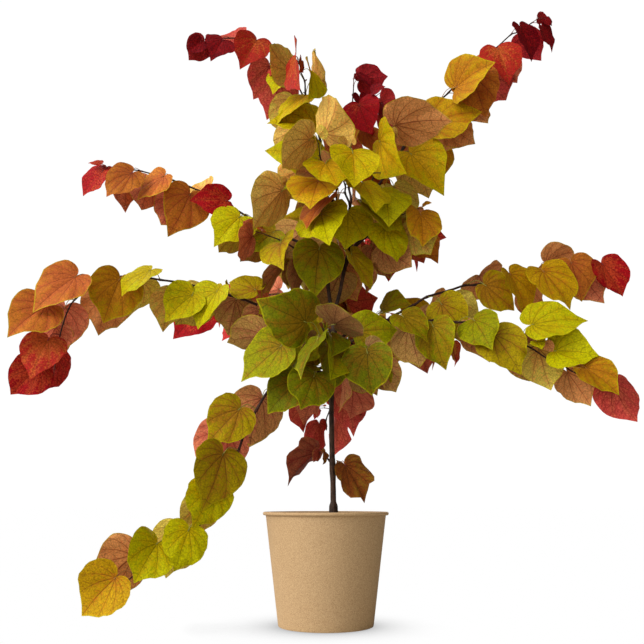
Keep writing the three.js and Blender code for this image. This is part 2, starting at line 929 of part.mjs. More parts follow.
for (const grown of growth) {
  addPiece(grown.name, toGeometry(largest(foliage(grown, collars))), shades[grown.mass.shade]);
  collars.push(collar(grown));
}

export default plant;
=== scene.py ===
# A young redbud in a paper pot, dressed round its solids: bark, twigs, stalks, leaves, pot and potting mix.
# The plant is grown by a seeded rule in millimetres and put into its meshes in metres.
import json
import math

import bpy
import numpy as np
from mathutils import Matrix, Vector

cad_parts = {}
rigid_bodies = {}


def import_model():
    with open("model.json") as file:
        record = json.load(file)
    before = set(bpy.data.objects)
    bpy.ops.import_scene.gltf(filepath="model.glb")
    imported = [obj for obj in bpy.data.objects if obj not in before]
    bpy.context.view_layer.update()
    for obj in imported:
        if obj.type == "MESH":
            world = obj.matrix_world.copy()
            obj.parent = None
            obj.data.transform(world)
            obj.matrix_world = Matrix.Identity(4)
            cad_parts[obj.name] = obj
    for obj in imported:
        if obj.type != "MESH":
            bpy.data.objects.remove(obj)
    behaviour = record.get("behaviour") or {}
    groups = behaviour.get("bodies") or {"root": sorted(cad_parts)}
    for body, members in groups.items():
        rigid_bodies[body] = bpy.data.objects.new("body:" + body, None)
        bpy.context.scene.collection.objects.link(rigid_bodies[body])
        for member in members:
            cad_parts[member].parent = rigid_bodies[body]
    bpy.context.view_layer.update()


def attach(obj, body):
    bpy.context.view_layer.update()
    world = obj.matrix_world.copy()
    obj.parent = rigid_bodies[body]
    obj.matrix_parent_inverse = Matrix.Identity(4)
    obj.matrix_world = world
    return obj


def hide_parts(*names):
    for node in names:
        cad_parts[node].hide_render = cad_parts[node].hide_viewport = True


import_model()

metre = 0.001  # one millimetre
up = np.array([0.0, 0.0, 1.0])


# numbers

def makeDice(seed):
    # the same seed always gives the same row of numbers from 0 to 1
    state = [seed & 0xFFFFFFFF]

    def roll():
        state[0] = (state[0] + 0x6D2B79F5) & 0xFFFFFFFF
        t = state[0]
        t = ((t ^ (t >> 15)) * (t | 1)) & 0xFFFFFFFF
        t ^= (t + (((t ^ (t >> 7)) * (t | 61)) & 0xFFFFFFFF)) & 0xFFFFFFFF
        return ((t ^ (t >> 14)) & 0xFFFFFFFF) / 4294967296

    return roll


def ramp(values, share):
    # the value at a share from 0 to 1 of a list whose entries are evenly spaced
    x = min(max(share, 0.0), 1.0) * (len(values) - 1)
    k = min(int(x), len(values) - 2)
    return values[k] + (values[k + 1] - values[k]) * (x - k)


def aim(heading, pitch):
    h, p = math.radians(heading), math.radians(pitch)
    return np.array([math.cos(h) * math.cos(p), math.sin(h) * math.cos(p), math.sin(p)])


def unit(v):
    return v / np.linalg.norm(v, axis=-1, keepdims=True)


def smoothStep(low, high, x):
    t = np.clip((x - low) / (high - low), 0, 1)
    return t * t * (3 - 2 * t)


def ripple(seed, rows, *angles):
    # a smooth uneven field: the sum over its rows of weight·product of sin(frequency·angle + seeded phase)
    rng = np.random.default_rng(seed)
    total = 0
    for weight, *frequencies in rows:
        product = weight
        for frequency, angle in zip(frequencies, angles):
            product = product * np.sin(frequency * angle + rng.uniform(0, 2 * math.pi))
        total = total + product
    return total


# limbs and shoots: heading is in degrees in plan from +X towards +Y, pitch in degrees above level, and both
# run from foot to tip; leaves and shoots keep clear of a limb by its room, which is wider than its radius

limbs = {
    "trunk": dict(start=(11.5, 0, 148.3), length=314, heading=[180, 180], pitch=[90, 88, 90, 94, 86],
                  steps=16, radius=(4.2, 3.4), room=(6, 4)),
    "leaderLeft": dict(parent="trunk", at=1, length=84, heading=[180, 180], pitch=[74, 86, 89],
                       steps=5, radius=(3, 2.6), room=(3.6, 3)),
    "leaderRight": dict(parent="trunk", at=1, length=132, heading=[-5, -5], pitch=[66, 80, 76, 68],
                        steps=7, radius=(3, 2.6), room=(3.8, 3.1)),
    "boughRight": dict(parent="trunk", at=0.8, length=84, heading=[5, 0], pitch=[34, 27],
                       steps=5, radius=(2.6, 2.3), room=(3.6, 3)),
    "boughLeft": dict(parent="trunk", at=0.885, length=86, heading=[176, 180], pitch=[30, 18],
                      steps=5, radius=(2.5, 2.2), room=(3.4, 2.8)),
    "boughUpper": dict(parent="leaderLeft", at=1, length=46, heading=[184, 186], pitch=[44, 27],
                       steps=4, radius=(2.4, 2.2), room=(2.6, 2.3)),
    "boughLow": dict(parent="trunk", at=0.73, length=60, heading=[190, 192], pitch=[-8, -14],
                     steps=4, radius=(2.5, 2.2), room=(3, 2.6)),
}

masses = {
    "foliageRightUpper": dict(
        parent="boughRight", at=1, length=385, nodes=14, heading=[0, 8, 4], pitch=[36, 30, 16, 10, 18, 6, 2],
        leaf=[60, 80, 86, 80, 60], side=1, seed=2,
        tints=["green", "olive", "lime", "gold", "gold", "orange", "crimson"]),
    "foliageRightLower": dict(
        parent="boughRight", at=1, length=345, nodes=13, heading=[-12, -6, -14],
        pitch=[8, 2, -6, -22, -34, -30, -28], leaf=[80, 80, 84, 84, 66], side=-1, seed=14,
        tints=["green", "green", "olive", "green", "lime", "gold", "red"]),
    "foliageLeft": dict(
        parent="boughLeft", at=1, length=440, nodes=18, heading=[178, 184, 190, 190],
        pitch=[20, 20, 14, 8, 0, -38, -78, -88], leaf=[64, 78, 84, 88, 64], side=1, seed=10,
        tints=["olive", "green", "lime", "lime", "gold", "orange", "red", "crimson"]),
    "foliageLowLeft": dict(
        parent="boughLow", at=1, length=400, nodes=13, heading=[192, 196, 188, 192],
        pitch=[-22, -54, -68, -72, -60, -44, -30, -44], leaf=[84, 88, 68, 86, 90], side=1, seed=4,
        tints=["olive", "rust", "olive", "lime", "lime", "gold", "gold"]),
    "foliageUpperLeft": dict(
        parent="boughUpper", at=1, length=322, nodes=13, heading=[186, 184, 188],
        pitch=[25, 25, 31, 27, 20, 14, 0], leaf=[74, 80, 74, 56], side=-1, seed=17,
        tints=["green", "lime", "crimson", "yellow", "orange", "rust", "crimson"]),
    "foliageUpRight": dict(
        parent="leaderRight", at=1, length=478, nodes=19, heading=[-8, -4, 4],
        pitch=[68, 62, 52, 54, 44, 44, 28], leaf=[90, 92, 86, 74, 52], side=1, seed=1,
        sides=dict(count=2, first=0.12, last=0.34, length=120, nodes=4, spread=60, lift=8, sag=40),
        tints=["lime", "lime", "yellow", "gold", "gold", "rust", "red", "wine"]),
    "foliageTopLeft": dict(
        parent="leaderLeft", at=1, length=490, nodes=18, heading=[178, 182, 186],
        pitch=[88, 92, 88, 80, 70, 64, 58, 6, -12], leaf=[86, 82, 76, 66, 48], side=-1, seed=20,
        sides=dict(count=3, first=0.16, last=0.5, length=110, nodes=4, spread=80, lift=-30, sag=50),
        tints=["olive", "green", "lime", "yellow", "lime", "red", "red", "wine"]),
    "foliageTopMiddle": dict(
        parent="leaderRight", at=0.9, length=285, nodes=12, heading=[120, 60, 10], pitch=[80, 86, 88, 84],
        leaf=[84, 82, 70, 50], side=1, seed=11,
        sides=dict(count=3, first=0.25, last=0.66, length=95, nodes=4, spread=100, lift=-35, sag=40),
        tints=["green", "gold", "rust", "orange", "crimson", "wine"]),
    "foliageFrontHigh": dict(
        parent="leaderLeft", at=0.98, length=190, nodes=8, heading=[-70, -80], pitch=[72, 62, 40, 14],
        leaf=[84, 94, 90, 76], side=1, open=35, seed=17,
        sides=dict(count=2, first=0.5, last=0.8, length=80, nodes=3, spread=70, lift=-20, sag=30),
        tints=["green", "lime", "gold", "yellow"]),
    "foliageFrontLow": dict(
        parent="trunk", at=0.76, length=130, nodes=7, heading=[-110, -86], pitch=[30, 6, -24],
        leaf=[78, 84, 74], side=1, open=35, seed=14,
        sides=dict(count=2, first=0.3, last=0.6, length=80, nodes=3, spread=60, lift=0, sag=40),
        tints=["green", "forest", "green", "forest"]),
    "foliageBackHigh": dict(
        parent="leaderRight", at=0.55, length=300, nodes=11, heading=[70, 84], pitch=[50, 36, 18, 2],
        leaf=[70, 84, 80, 64], side=1, open=60, seed=8,
        sides=dict(count=3, first=0.25, last=0.7, length=100, nodes=4, spread=60, lift=0, sag=40),
        tints=["olive", "gold", "rust", "rust", "crimson"]),
    "foliageBackLeft": dict(
        parent="trunk", at=0.93, length=370, nodes=13, heading=[118, 128], pitch=[40, 24, 8, -16],
        leaf=[70, 84, 80, 64], side=1, open=60, seed=1,
        sides=dict(count=2, first=0.25, last=0.6, length=100, nodes=4, spread=60, lift=0, sag=40),
        tints=["olive", "rust", "orange", "red", "crimson"]),
    "foliageBackRight": dict(
        parent="trunk", at=0.84, length=370, nodes=13, heading=[58, 46], pitch=[34, 18, 2, -22],
        leaf=[70, 84, 80, 64], side=1, open=60, seed=8,
        sides=dict(count=2, first=0.25, last=0.6, length=100, nodes=4, spread=60, lift=0, sag=40),
        tints=["green", "olive", "gold", "rust", "red"]),
    "foliageBackLow": dict(
        parent="trunk", at=0.69, length=230, nodes=9, heading=[86, 100], pitch=[12, -6, -30, -44],
        leaf=[70, 80, 76, 60], side=1, open=60, seed=5, ragged=0.7,
        tints=["olive", "rust", "red", "red"]),
    "spurLeft": dict(
        parent="trunk", at=0.26, length=14, nodes=1, heading=[190, 190], pitch=[60, 30], leaf=[78, 78],
        side=1, seed=1, ragged=1, tints=["brown", "brown"]),
    "spurRight": dict(
        parent="trunk", at=0.22, length=14, nodes=1, heading=[0, 0], pitch=[60, 30], leaf=[84, 84],
        side=1, seed=7, ragged=1, tints=["brown", "brown"]),
}

# short leafy shoots round the two leaders and round the trunk, each turned on from the one before
turnOn = 137.5
rounds = {
    "foliageCrown": dict(
        seeds=[51, 6, 5, 7], parents=["leaderLeft", "leaderRight"], first=0.55, last=0.95, heading=205,
        shape=dict(length=125, nodes=5, pitch=[56, 34, 8], leaf=[78, 84, 74], side=1, open=55),
        tints=[["green", "olive", "rust"], ["olive", "lime", "gold"], ["green", "lime", "lime"],
               ["rust", "orange", "gold"]]),
    "foliageWaist": dict(
        seeds=[20, 2, 18], parents=["trunk"], first=0.66, last=0.9, heading=250,
        shape=dict(length=70, nodes=4, pitch=[30, 0, -30], leaf=[74, 78, 68], side=1, open=30),
        tints=[["green", "forest"], ["green", "green"], ["forest", "green"]]),
}

for prefix, row in rounds.items():
    for i, seed in enumerate(row["seeds"]):
        turn = row["heading"] + turnOn * i
        at = row["first"] + (row["last"] - row["first"]) * i / (len(row["seeds"]) - 1)
        parent = row["parents"][i % len(row["parents"])]
        masses[f"{prefix}{i + 1}"] = dict(
            row["shape"], parent=parent, at=at, heading=[turn, turn], seed=seed, tints=row["tints"][i])


# how a leaf stands at its node: each pair is what the lowest and the highest throw of the dice give
habit = {
    "tries": 16,
    "size": [0.88, 1.12],  # of the shoot's leaf size there
    "smallerEachTry": 0.015,
    "rising": 0.18,  # share of the leaves whose stalk stands up
    "lift": {"rising": [45, 75], "hanging": [-15, 35]},  # degrees above level, at the stalk's foot
    "outward": {"side": [75, 25], "end": [0, 15]},  # degrees away from the shoot's heading
    "stalk": [0.26, 0.5],  # of the leaf's size
    "stalkBend": 0.55,  # share of the stalk before it bends over
    "bendDown": 50,
    "hang": {"rising": [80, 116], "hanging": [8, 54]},  # degrees from straight down to the midrib
    "turn": [-30, 70],
    "open": 90,  # degrees from the heading to the way the upper face looks
    "openSpread": [-40, 40],
    "faceLift": [5, 45],
    "curl": [0.4, 1.4],
    "tone": 1.1,  # how far a leaf's tint strays along its shoot's row of tints
    "stalkInLeaf": 0.5,
}

leafForm = {
    "outlineSteps": 8,
    "gather": 0.38,  # how much closer the outline's points stand at the tip
    "back": 0.74,  # reach of the lobes, as a share of the length from stalk to tip
    "power": 1.05,  # how narrow the lobes are
    "tip": 0.26,
    "tipSpread": 12,  # degrees on each side that the drawn-out tip takes
    "fold": 0.1,  # rise of the sides, as a share of the way out from the midrib
    "droop": 0.16,
    "fullness": 1.2,  # whole length over the length from stalk to tip
}

room = {  # what a leaf keeps clear of, in millimetres
    "clearance": 1.5,
    "stalk": 0.8,
    "shoot": 4,  # between a side shoot and other stems
    "shootProbes": (0.33, 0.66, 1),  # shares of each stretch where that is tested
    "lowest": 12,
    "potLevel": 168,  # below it leaves keep out of the pot's radius
    "potRadius": 101,
    "edge": 1.05,  # how much wider than the leaf its tested edge is
    "leafReach": 2,  # how far round it another leaf, a stem or a leaf for its stalk is looked for
    "stemReach": 6,
    "stalkReach": 25,
}

mainHabit = {"zigzag": 1.8, "uneven": 0.45, "radius": (2.2, 0.9)}
sideHabit = {
    "zigzag": 1.5,
    "uneven": 0.3,
    "radius": (1.6, 0.9),
    "shorter": 0.3,  # how much shorter a side shoot at the very tip would be
    "tintsOn": 1.5,  # how far it runs on along the row of tints
}
zigzagForm = {
    "steep": 0.2,  # a stretch that leans less than this takes its side from the heading
    "lift": 0.5,  # how far a node also goes up, as a share of how far it goes out
}

seedShift = {  # added to a shoot's seed, so that each use of it has a row of dice of its own
    "walk": 500,
    "sideShoot": 7,  # for each side shoot
    "fineTwig": 31,  # for each node
    "fineTwigs": 900,
    "buds": 77,
}


def walk(limb):
    # a line whose heading and pitch follow their ramps, in steps that may be uneven
    dice = makeDice(limb.get("seed", 1) + seedShift["walk"])
    uneven = limb.get("uneven", 0)
    shares = [1 + uneven * (2 * dice() - 1) for _ in range(limb["steps"])]
    total = sum(shares)
    points = [np.array(limb["start"], float)]
    gone = 0.0
    for share in shares:
        step = share / total
        direction = aim(ramp(limb["heading"], gone + step / 2), ramp(limb["pitch"], gone + step / 2))
        points.append(points[-1] + direction * step * limb["length"])
        gone += step
    return np.array(points)


def zigzag(points, limb, amount):
    # each node of a shoot stands out to one side and then to the other
    moved = points.copy()
    for i in range(1, len(points)):
        across = np.cross(unit(points[i] - points[i - 1]), up)
        if np.linalg.norm(across) > zigzagForm["steep"]:
            across = unit(across)
        else:
            across = np.cross(aim(ramp(limb["heading"], i / (len(points) - 1)), 0), up)
        turn = 1 if i % 2 else -1
        moved[i] = points[i] + (across + zigzagForm["lift"] * up) * turn * amount
    return moved


def pointOn(points, at):
    x = at * (len(points) - 1)
    k = min(int(x), len(points) - 2)
    return points[k] + (points[k + 1] - points[k]) * (x - k)


def leafRadius(theta, tip=leafForm["tip"]):
    # distance from the stalk's foot to the blade's edge: round lobes and a drawn-out tip
    lobes = leafForm["back"] * np.abs(np.cos(theta / 2)) ** leafForm["power"]
    return lobes + tip * np.exp(-np.abs(theta) / math.radians(leafForm["tipSpread"]))


def leafOutline(leaf):
    # the blade's edge at a few angles, lifted by the fold and let down by the droop
    u = np.linspace(-1, 1, leafForm["outlineSteps"] + 1)
    theta = math.pi * ((1 - leafForm["gather"]) * u + leafForm["gather"] * u ** 3)
    radius = leafRadius(theta) * leaf["length"]
    x, y = radius * np.sin(theta), radius * np.cos(theta)
    sag = leafForm["droop"] * leaf["curl"] * (y * y + 0.5 * x * x) / leaf["length"]
    return (leaf["base"] + np.outer(x, leaf["across"]) + np.outer(y, leaf["along"])
            + np.outer(leafForm["fold"] * np.abs(x) - sag, leaf["face"]))


def measureLeaf(leaf):
    # what the clearance tests need of a leaf: its triangles, its edges and some of its points
    edge, base = leafOutline(leaf), leaf["base"]
    middle = edge.mean(0)
    wide = middle + (edge - middle) * room["edge"]
    spokes = wide[2:-2:2]
    starts = np.concatenate([wide[:-1], np.broadcast_to(base, spokes.shape)])
    ends = np.concatenate([wide[1:], spokes])
    offsets = [-room["clearance"], 0, room["clearance"]]
    leaf["triangles"] = np.stack([np.broadcast_to(base, edge[2:-1].shape), edge[1:-2], edge[2:-1]], 1)
    leaf["starts"] = np.concatenate([starts + leaf["face"] * offset for offset in offsets])
    leaf["ends"] = np.concatenate([ends + leaf["face"] * offset for offset in offsets])
    leaf["points"] = np.concatenate([edge, (edge + base) / 2, (edge[:-1] + edge[1:]) / 2])
    leaf["middle"] = middle
    leaf["reach"] = float(np.linalg.norm(edge - middle, axis=1).max()) + room["leafReach"]
    return leaf


def pierces(starts, ends, triangles):
    # whether any line from a start to its end passes through any triangle
    way = (ends - starts)[:, None]
    corner = triangles[None, :, 0]
    e1, e2 = triangles[None, :, 1] - corner, triangles[None, :, 2] - corner
    h = np.cross(way, e2)
    determinant = (e1 * h).sum(-1)
    determinant = np.where(np.abs(determinant) < 1e-9, 1e-9, determinant)
    s = starts[:, None] - corner
    k = np.cross(s, e1)
    u, v, t = (s * h).sum(-1) / determinant, (way * k).sum(-1) / determinant, (e2 * k).sum(-1) / determinant
    return bool(((u >= 0) & (v >= 0) & (u + v <= 1) & (t >= 0) & (t <= 1)).any())


def nearStem(points, starts, ends, radii):
    # whether any point lies nearer to any stem than its radius
    way = ends - starts
    off = points[:, None] - starts
    share = np.clip((off * way).sum(-1) / (way * way).sum(-1), 0, 1)
    return bool((np.linalg.norm(off - share[..., None] * way, axis=-1) < radii).any())


class Growth:
    # the plant so far: its stems as short straight stretches, and its leaves
    def __init__(self):
        self.leaves = []
        self.stems = []
        self.middles = np.zeros((0, 3))
        self.reaches = np.zeros(0)

    def addStem(self, points, radii):
        for a, b, ra, rb in zip(points[:-1], points[1:], radii[:-1], radii[1:]):
            self.stems.append((a, b, max(ra, rb)))

    def stemArrays(self, keep=None):
        stems = self.stems if keep is None else [self.stems[i] for i in keep]
        return tuple(np.array(column) for column in zip(*stems))

    def addLeaf(self, leaf):
        self.leaves.append(leaf)
        self.middles = np.vstack([self.middles, leaf["middle"]])
        self.reaches = np.append(self.reaches, leaf["reach"])
        self.addStem(leaf["stalk"], [room["stalk"]] * 3)

    def isClear(self, leaf):
        low = leaf["points"][leaf["points"][:, 2] < room["potLevel"]]
        if leaf["points"][:, 2].min() < room["lowest"]:
            return False
        if len(low) and np.hypot(low[:, 0], low[:, 1]).min() < room["potRadius"]:
            return False
        starts, ends, radii = self.stemArrays()
        stalk = leaf["stalk"]
        stalkPoints = np.array([stalk[1], (stalk[1] + stalk[2]) / 2, stalk[2]])
        if nearStem(stalkPoints, starts, ends, radii + room["clearance"]):
            return False
        away = np.linalg.norm((starts + ends) / 2 - leaf["middle"], axis=1)
        near = away < np.linalg.norm(ends - starts, axis=1) / 2 + leaf["reach"] + room["stemReach"]
        if near.any():
            if nearStem(leaf["points"], starts[near], ends[near], radii[near] + room["clearance"]):
                return False
            if pierces(starts[near], ends[near], leaf["triangles"]):
                return False
        if not self.leaves:
            return True
        away = np.linalg.norm(self.middles - leaf["middle"], axis=1)
        for k in np.nonzero(away < self.reaches + leaf["reach"])[0]:
            other = self.leaves[k]
            if pierces(leaf["starts"], leaf["ends"], other["triangles"]):
                return False
            if pierces(other["starts"], other["ends"], leaf["triangles"]):
                return False
        away = np.linalg.norm(self.middles - (stalk[0] + stalk[2]) / 2, axis=1)
        for k in np.nonzero(away < self.reaches + room["stalkReach"])[0]:
            other = self.leaves[k]
            if pierces(stalk[:-1], stalk[1:], other["triangles"]):
                return False
            if nearStem(other["points"], stalk[:-1], stalk[1:], room["stalk"] + room["clearance"]):
                return False
        return True


def radiiOf(item, points, key="radius"):
    return np.linspace(item[key][0], item[key][1], len(points))


def atNode(shoot, k):
    # how far along the shoot its node is, and which side its leaf stands on
    return k / max(shoot["nodes"] - 1, 1), shoot["side"] * (1 if k % 2 else -1)


def isTip(shoot, k):
    return k == shoot["nodes"] - 1 and shoot["nodes"] > 1


def growLeaf(growth, shoot, k, dice):
    # one leaf at a node: attitudes are tried in the dice's order and the first clear one is kept
    share, side = atNode(shoot, k)
    heading = ramp(shoot["heading"], share)
    node = shoot["line"][k + 1]
    spread = habit["outward"]["end" if isTip(shoot, k) else "side"]
    for attempt in range(habit["tries"]):
        forSize, forSide, forWay, forLift, forStalk, forTurn = [dice() for _ in range(6)]
        size = ramp(shoot["leaf"], share) * ramp(habit["size"], forSize)
        size *= 1 - habit["smallerEachTry"] * attempt
        way = "rising" if forWay < habit["rising"] else "hanging"
        lift = ramp(habit["lift"][way], forLift)
        outward = heading + side * ramp(spread, forSide)
        stalkLength = size * ramp(habit["stalk"], forStalk)
        bend = node + aim(outward, lift) * stalkLength * habit["stalkBend"]
        stalkEnd = bend + aim(outward, lift - habit["bendDown"]) * stalkLength * (1 - habit["stalkBend"])
        along = aim(heading + side * ramp(habit["turn"], forTurn), ramp(habit["hang"][way], forStalk) - 90)
        opening = shoot.get("open", habit["open"]) + ramp(habit["openSpread"], forSide)
        looks = aim(heading + side * opening, ramp(habit["faceLift"], forLift))
        face = unit(looks - along * float(looks @ along))
        leaf = measureLeaf({
            "base": stalkEnd + along * habit["stalkInLeaf"],
            "along": along,
            "across": np.cross(along, face),
            "face": face,
            "length": size / leafForm["fullness"],
            "curl": ramp(habit["curl"], forTurn),
            "stalk": np.array([node, bend, stalkEnd]),
            "tone": ramp(shoot["tones"], share) + (forSize - 0.5) * habit["tone"],
        })
        if growth.isClear(leaf):
            growth.addLeaf(leaf)
            return [leaf]
    return []


def mainShoot(mass, lines):
    top = float(len(mass["tints"]) - 1)
    shoot = dict(mass, start=pointOn(lines[mass["parent"]], mass["at"]), steps=mass["nodes"],
                 uneven=mainHabit["uneven"], radius=mainHabit["radius"], tones=[0.0, top])
    shoot["line"] = zigzag(walk(shoot), shoot, mainHabit["zigzag"])
    return shoot


def sideShoot(mass, main, j):
    sides = mass["sides"]
    top = float(len(mass["tints"]) - 1)
    share = sides["first"] + (sides["last"] - sides["first"]) * j / max(sides["count"] - 1, 1)
    node = int(share * mass["nodes"] + 0.5)
    share = node / mass["nodes"]
    turn = ramp(mass["heading"], share) + sides["spread"] * (1 if j % 2 else -1) * mass["side"]
    tilt = ramp(mass["pitch"], share) + sides["lift"]
    size = ramp(mass["leaf"], share)
    shoot = dict(
        mass, start=main["line"][node], length=sides["length"] * (1 - sideHabit["shorter"] * share),
        nodes=sides["nodes"], steps=sides["nodes"], uneven=sideHabit["uneven"], heading=[turn, turn],
        pitch=[tilt, tilt - sides["sag"] / 2, tilt - sides["sag"]], leaf=[size, size],
        radius=sideHabit["radius"], tones=[share * top, min(share * top + sideHabit["tintsOn"], top)],
        seed=mass["seed"] + seedShift["sideShoot"] * (j + 1))
    shoot["line"] = zigzag(walk(shoot), shoot, sideHabit["zigzag"])
    return shoot


fineHabit = {  # the finer twigs that the solids leave out, with their small young leaves
    "share": 0.12,  # of the nodes that bear one
    "length": [14, 26],
    "nodes": 2,
    "zigzag": 0.6,
    "radius": (0.75, 0.45),
    "leaf": [20, 34],
    "tipLeaf": 0.8,  # size of the last leaf beside the first
    "outward": [30, 80],
    "rise": [0, 50],
    "sag": 15,
    "tipLength": [16, 24],
    "tipRise": 10,
    "tintsOn": 0.6,
}


def lineIsClear(growth, line):
    # whether a fine twig passes through no leaf
    away = np.linalg.norm(growth.middles - line.mean(0), axis=1)
    near = np.nonzero(away < growth.reaches + fineHabit["length"][1])[0]
    return not any(pierces(line[:-1], line[1:], growth.leaves[k]["triangles"]) for k in near)


def growFineTwig(growth, shoot, k, dice):
    # a short twig with two young leaves, out to one side of a node or on from the shoot's tip
    forLength, forTurn, forRise, forSize = [dice() for _ in range(4)]
    share, side = atNode(shoot, k)
    turn, tilt, lengths = ramp(shoot["heading"], share), ramp(shoot["pitch"], share), fineHabit["tipLength"]
    tilt += fineHabit["tipRise"]
    if not isTip(shoot, k):
        turn -= side * ramp(fineHabit["outward"], forTurn)
        tilt, lengths = ramp(fineHabit["rise"], forRise), fineHabit["length"]
    size = ramp(fineHabit["leaf"], forSize)
    tone = ramp(shoot["tones"], share)
    twig = dict(
        start=shoot["line"][k + 1], length=ramp(lengths, forLength), nodes=fineHabit["nodes"],
        steps=fineHabit["nodes"], uneven=sideHabit["uneven"], heading=[turn, turn],
        pitch=[tilt, tilt - fineHabit["sag"]], leaf=[size, fineHabit["tipLeaf"] * size],
        radius=fineHabit["radius"], tones=[tone, tone + fineHabit["tintsOn"]], side=side,
        seed=shoot["seed"] + seedShift["fineTwig"] * (k + 1))
    twig["line"] = zigzag(walk(twig), twig, fineHabit["zigzag"])
    if not lineIsClear(growth, twig["line"]):
        return []
    growth.addStem(twig["line"], radiiOf(twig, twig["line"]))
    twig["leaves"] = [leaf for j in range(twig["nodes"]) for leaf in growLeaf(growth, twig, j, dice)]
    return [twig]


def growPlant():
    # limbs, then every shoot, then the leaves, then the finer twigs
    growth, lines, shoots, own = Growth(), {}, {}, {}
    for name, limb in limbs.items():
        if "parent" in limb:
            limb["start"] = pointOn(lines[limb["parent"]], limb["at"])
        lines[name] = walk(limb)
        growth.addStem(lines[name], radiiOf(limb, lines[name], "room"))
    for name, mass in masses.items():
        main = mainShoot(mass, lines)
        first = len(growth.stems)
        growth.addStem(main["line"], radiiOf(main, main["line"]))
        own[name] = range(first, len(growth.stems))
        shoots[name] = [main]
    for name, mass in masses.items():
        for j in range(mass.get("sides", {}).get("count", 0)):
            side = sideShoot(mass, shoots[name][0], j)
            line, stretches = side["line"], np.diff(side["line"], axis=0)
            probe = np.concatenate([line[:-1] + stretches * share for share in room["shootProbes"]])
            others = [i for i in range(len(growth.stems)) if i not in own[name]]
            starts, ends, radii = growth.stemArrays(others)
            if nearStem(probe, starts, ends, radii + room["shoot"]):
                continue
            growth.addStem(line, radiiOf(side, line))
            shoots[name].append(side)
    for name, mass in masses.items():
        dice = makeDice(mass["seed"])
        for shoot in shoots[name]:
            grown = [growLeaf(growth, shoot, k, dice) for k in range(shoot["nodes"])]
            shoot["leaves"] = [leaf for found in grown for leaf in found]
    for name, mass in masses.items():
        dice = makeDice(mass["seed"] + seedShift["fineTwigs"])
        for shoot in list(shoots[name]):
            for k in range(shoot["nodes"]):
                if isTip(shoot, k) or dice() < fineHabit["share"]:
                    shoots[name] += growFineTwig(growth, shoot, k, dice)
    return lines, shoots


lines, shoots = growPlant()
leafCount = sum(len(shoot["leaves"]) for row in shoots.values() for shoot in row)
print("grown:", sum(len(row) for row in shoots.values()), "shoots and", leafCount, "leaves")


# meshes: a part is its points, quads and triangles, with a place on the map for each corner of each face

def makePart(points, quads, quadMap, triangles, triangleMap, slot=0):
    return dict(points=points, quads=quads, quadMap=quadMap, triangles=triangles, triangleMap=triangleMap,
                quadSlot=slot, triangleSlot=slot)


def fill(data, key, values, kind=np.float32):
    # hands a whole array to one property of a mesh's data
    data.foreach_set(key, np.asarray(values, kind).ravel())


def fillMesh(name, parts, mapName, hasCells=False, attributes=()):
    # joins the parts: all quads first, then all triangles
    kinds = [(kind, part) for kind in ("quad", "triangle") for part in parts]
    starts = np.cumsum([0] + [len(part["points"]) for part in parts])[:-1]
    points = np.concatenate([part["points"] for part in parts]) * metre
    quads = np.concatenate([part["quads"] + start for part, start in zip(parts, starts)])
    triangles = np.concatenate([part["triangles"] + start for part, start in zip(parts, starts)])
    firsts = np.concatenate([np.arange(len(quads)) * 4, len(quads) * 4 + np.arange(len(triangles)) * 3])
    slots = [np.broadcast_to(part[kind + "Slot"], len(part[kind + "s"])) for kind, part in kinds]
    mesh = bpy.data.meshes.new(name)
    mesh.vertices.add(len(points))
    mesh.loops.add(quads.size + triangles.size)
    mesh.polygons.add(len(firsts))
    fill(mesh.vertices, "co", points)
    fill(mesh.loops, "vertex_index", np.concatenate([quads.ravel(), triangles.ravel()]), np.int32)
    fill(mesh.polygons, "loop_start", firsts, np.int32)
    fill(mesh.polygons, "material_index", np.concatenate(slots), np.int32)
    fill(mesh.polygons, "use_smooth", np.ones(len(firsts)), bool)
    mesh.update(calc_edges=True)
    for layerName, key in ((mapName, "Map"), ("OFBake", "Cell"))[:1 + hasCells]:
        places = [part[kind + key].reshape(-1, 2) for kind, part in kinds]
        fill(mesh.uv_layers.new(name=layerName, do_init=False).uv, "vector", np.concatenate(places))
    mesh.uv_layers.active = mesh.uv_layers[mapName]
    mesh.uv_layers[mapName].active_render = True
    for key in attributes:
        values = [np.broadcast_to(part[key], len(part["points"])) for part in parts]
        fill(mesh.attributes.new(key, "FLOAT", "POINT").data, "value", np.concatenate(values))
    return mesh


def addObject(name, data):
    added = bpy.data.objects.new(name, data)
    bpy.context.scene.collection.objects.link(added)
    return added


def addPiece(mesh, materials, replaced, sharp=50):
    # the piece rides on the plant's one body and stands for its solid; edges over the angle stay crisp
    mesh.set_sharp_from_angle(angle=math.radians(sharp))
    for material in materials:
        mesh.materials.append(material)
    piece = addObject(mesh.name, mesh)
    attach(piece, "root")
    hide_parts(replaced)


def gridFaces(rows, columns, isRound=False):
    # quads of a grid of points, row after row, closed round each row if it is round
    i, j = np.meshgrid(np.arange(rows - 1), np.arange(columns if isRound else columns - 1), indexing="ij")
    a, b = i * columns + j, i * columns + (j + 1) % columns
    return np.stack([a, b, b + columns, a + columns], -1).reshape(-1, 4)


def gridMap(u, v):
    # the map's places of the same quads: u across a row (one more than its quads), v along the rows
    corners = [(u[:-1], v[:-1]), (u[1:], v[:-1]), (u[1:], v[1:]), (u[:-1], v[1:])]
    return np.stack([np.stack(np.meshgrid(a, b), -1) for a, b in corners], 2).reshape(-1, 4, 2)


def endFans(rows, sides):
    # triangles from the first ring and from the last one to the two middle points that follow the rings
    j = np.arange(sides)
    nextJ, last = (j + 1) % sides, (rows - 1) * sides
    foot, tip = np.full(sides, rows * sides), np.full(sides, rows * sides + 1)
    return np.concatenate([np.stack([foot, nextJ, j], -1), np.stack([tip, last + j, last + nextJ], -1)])


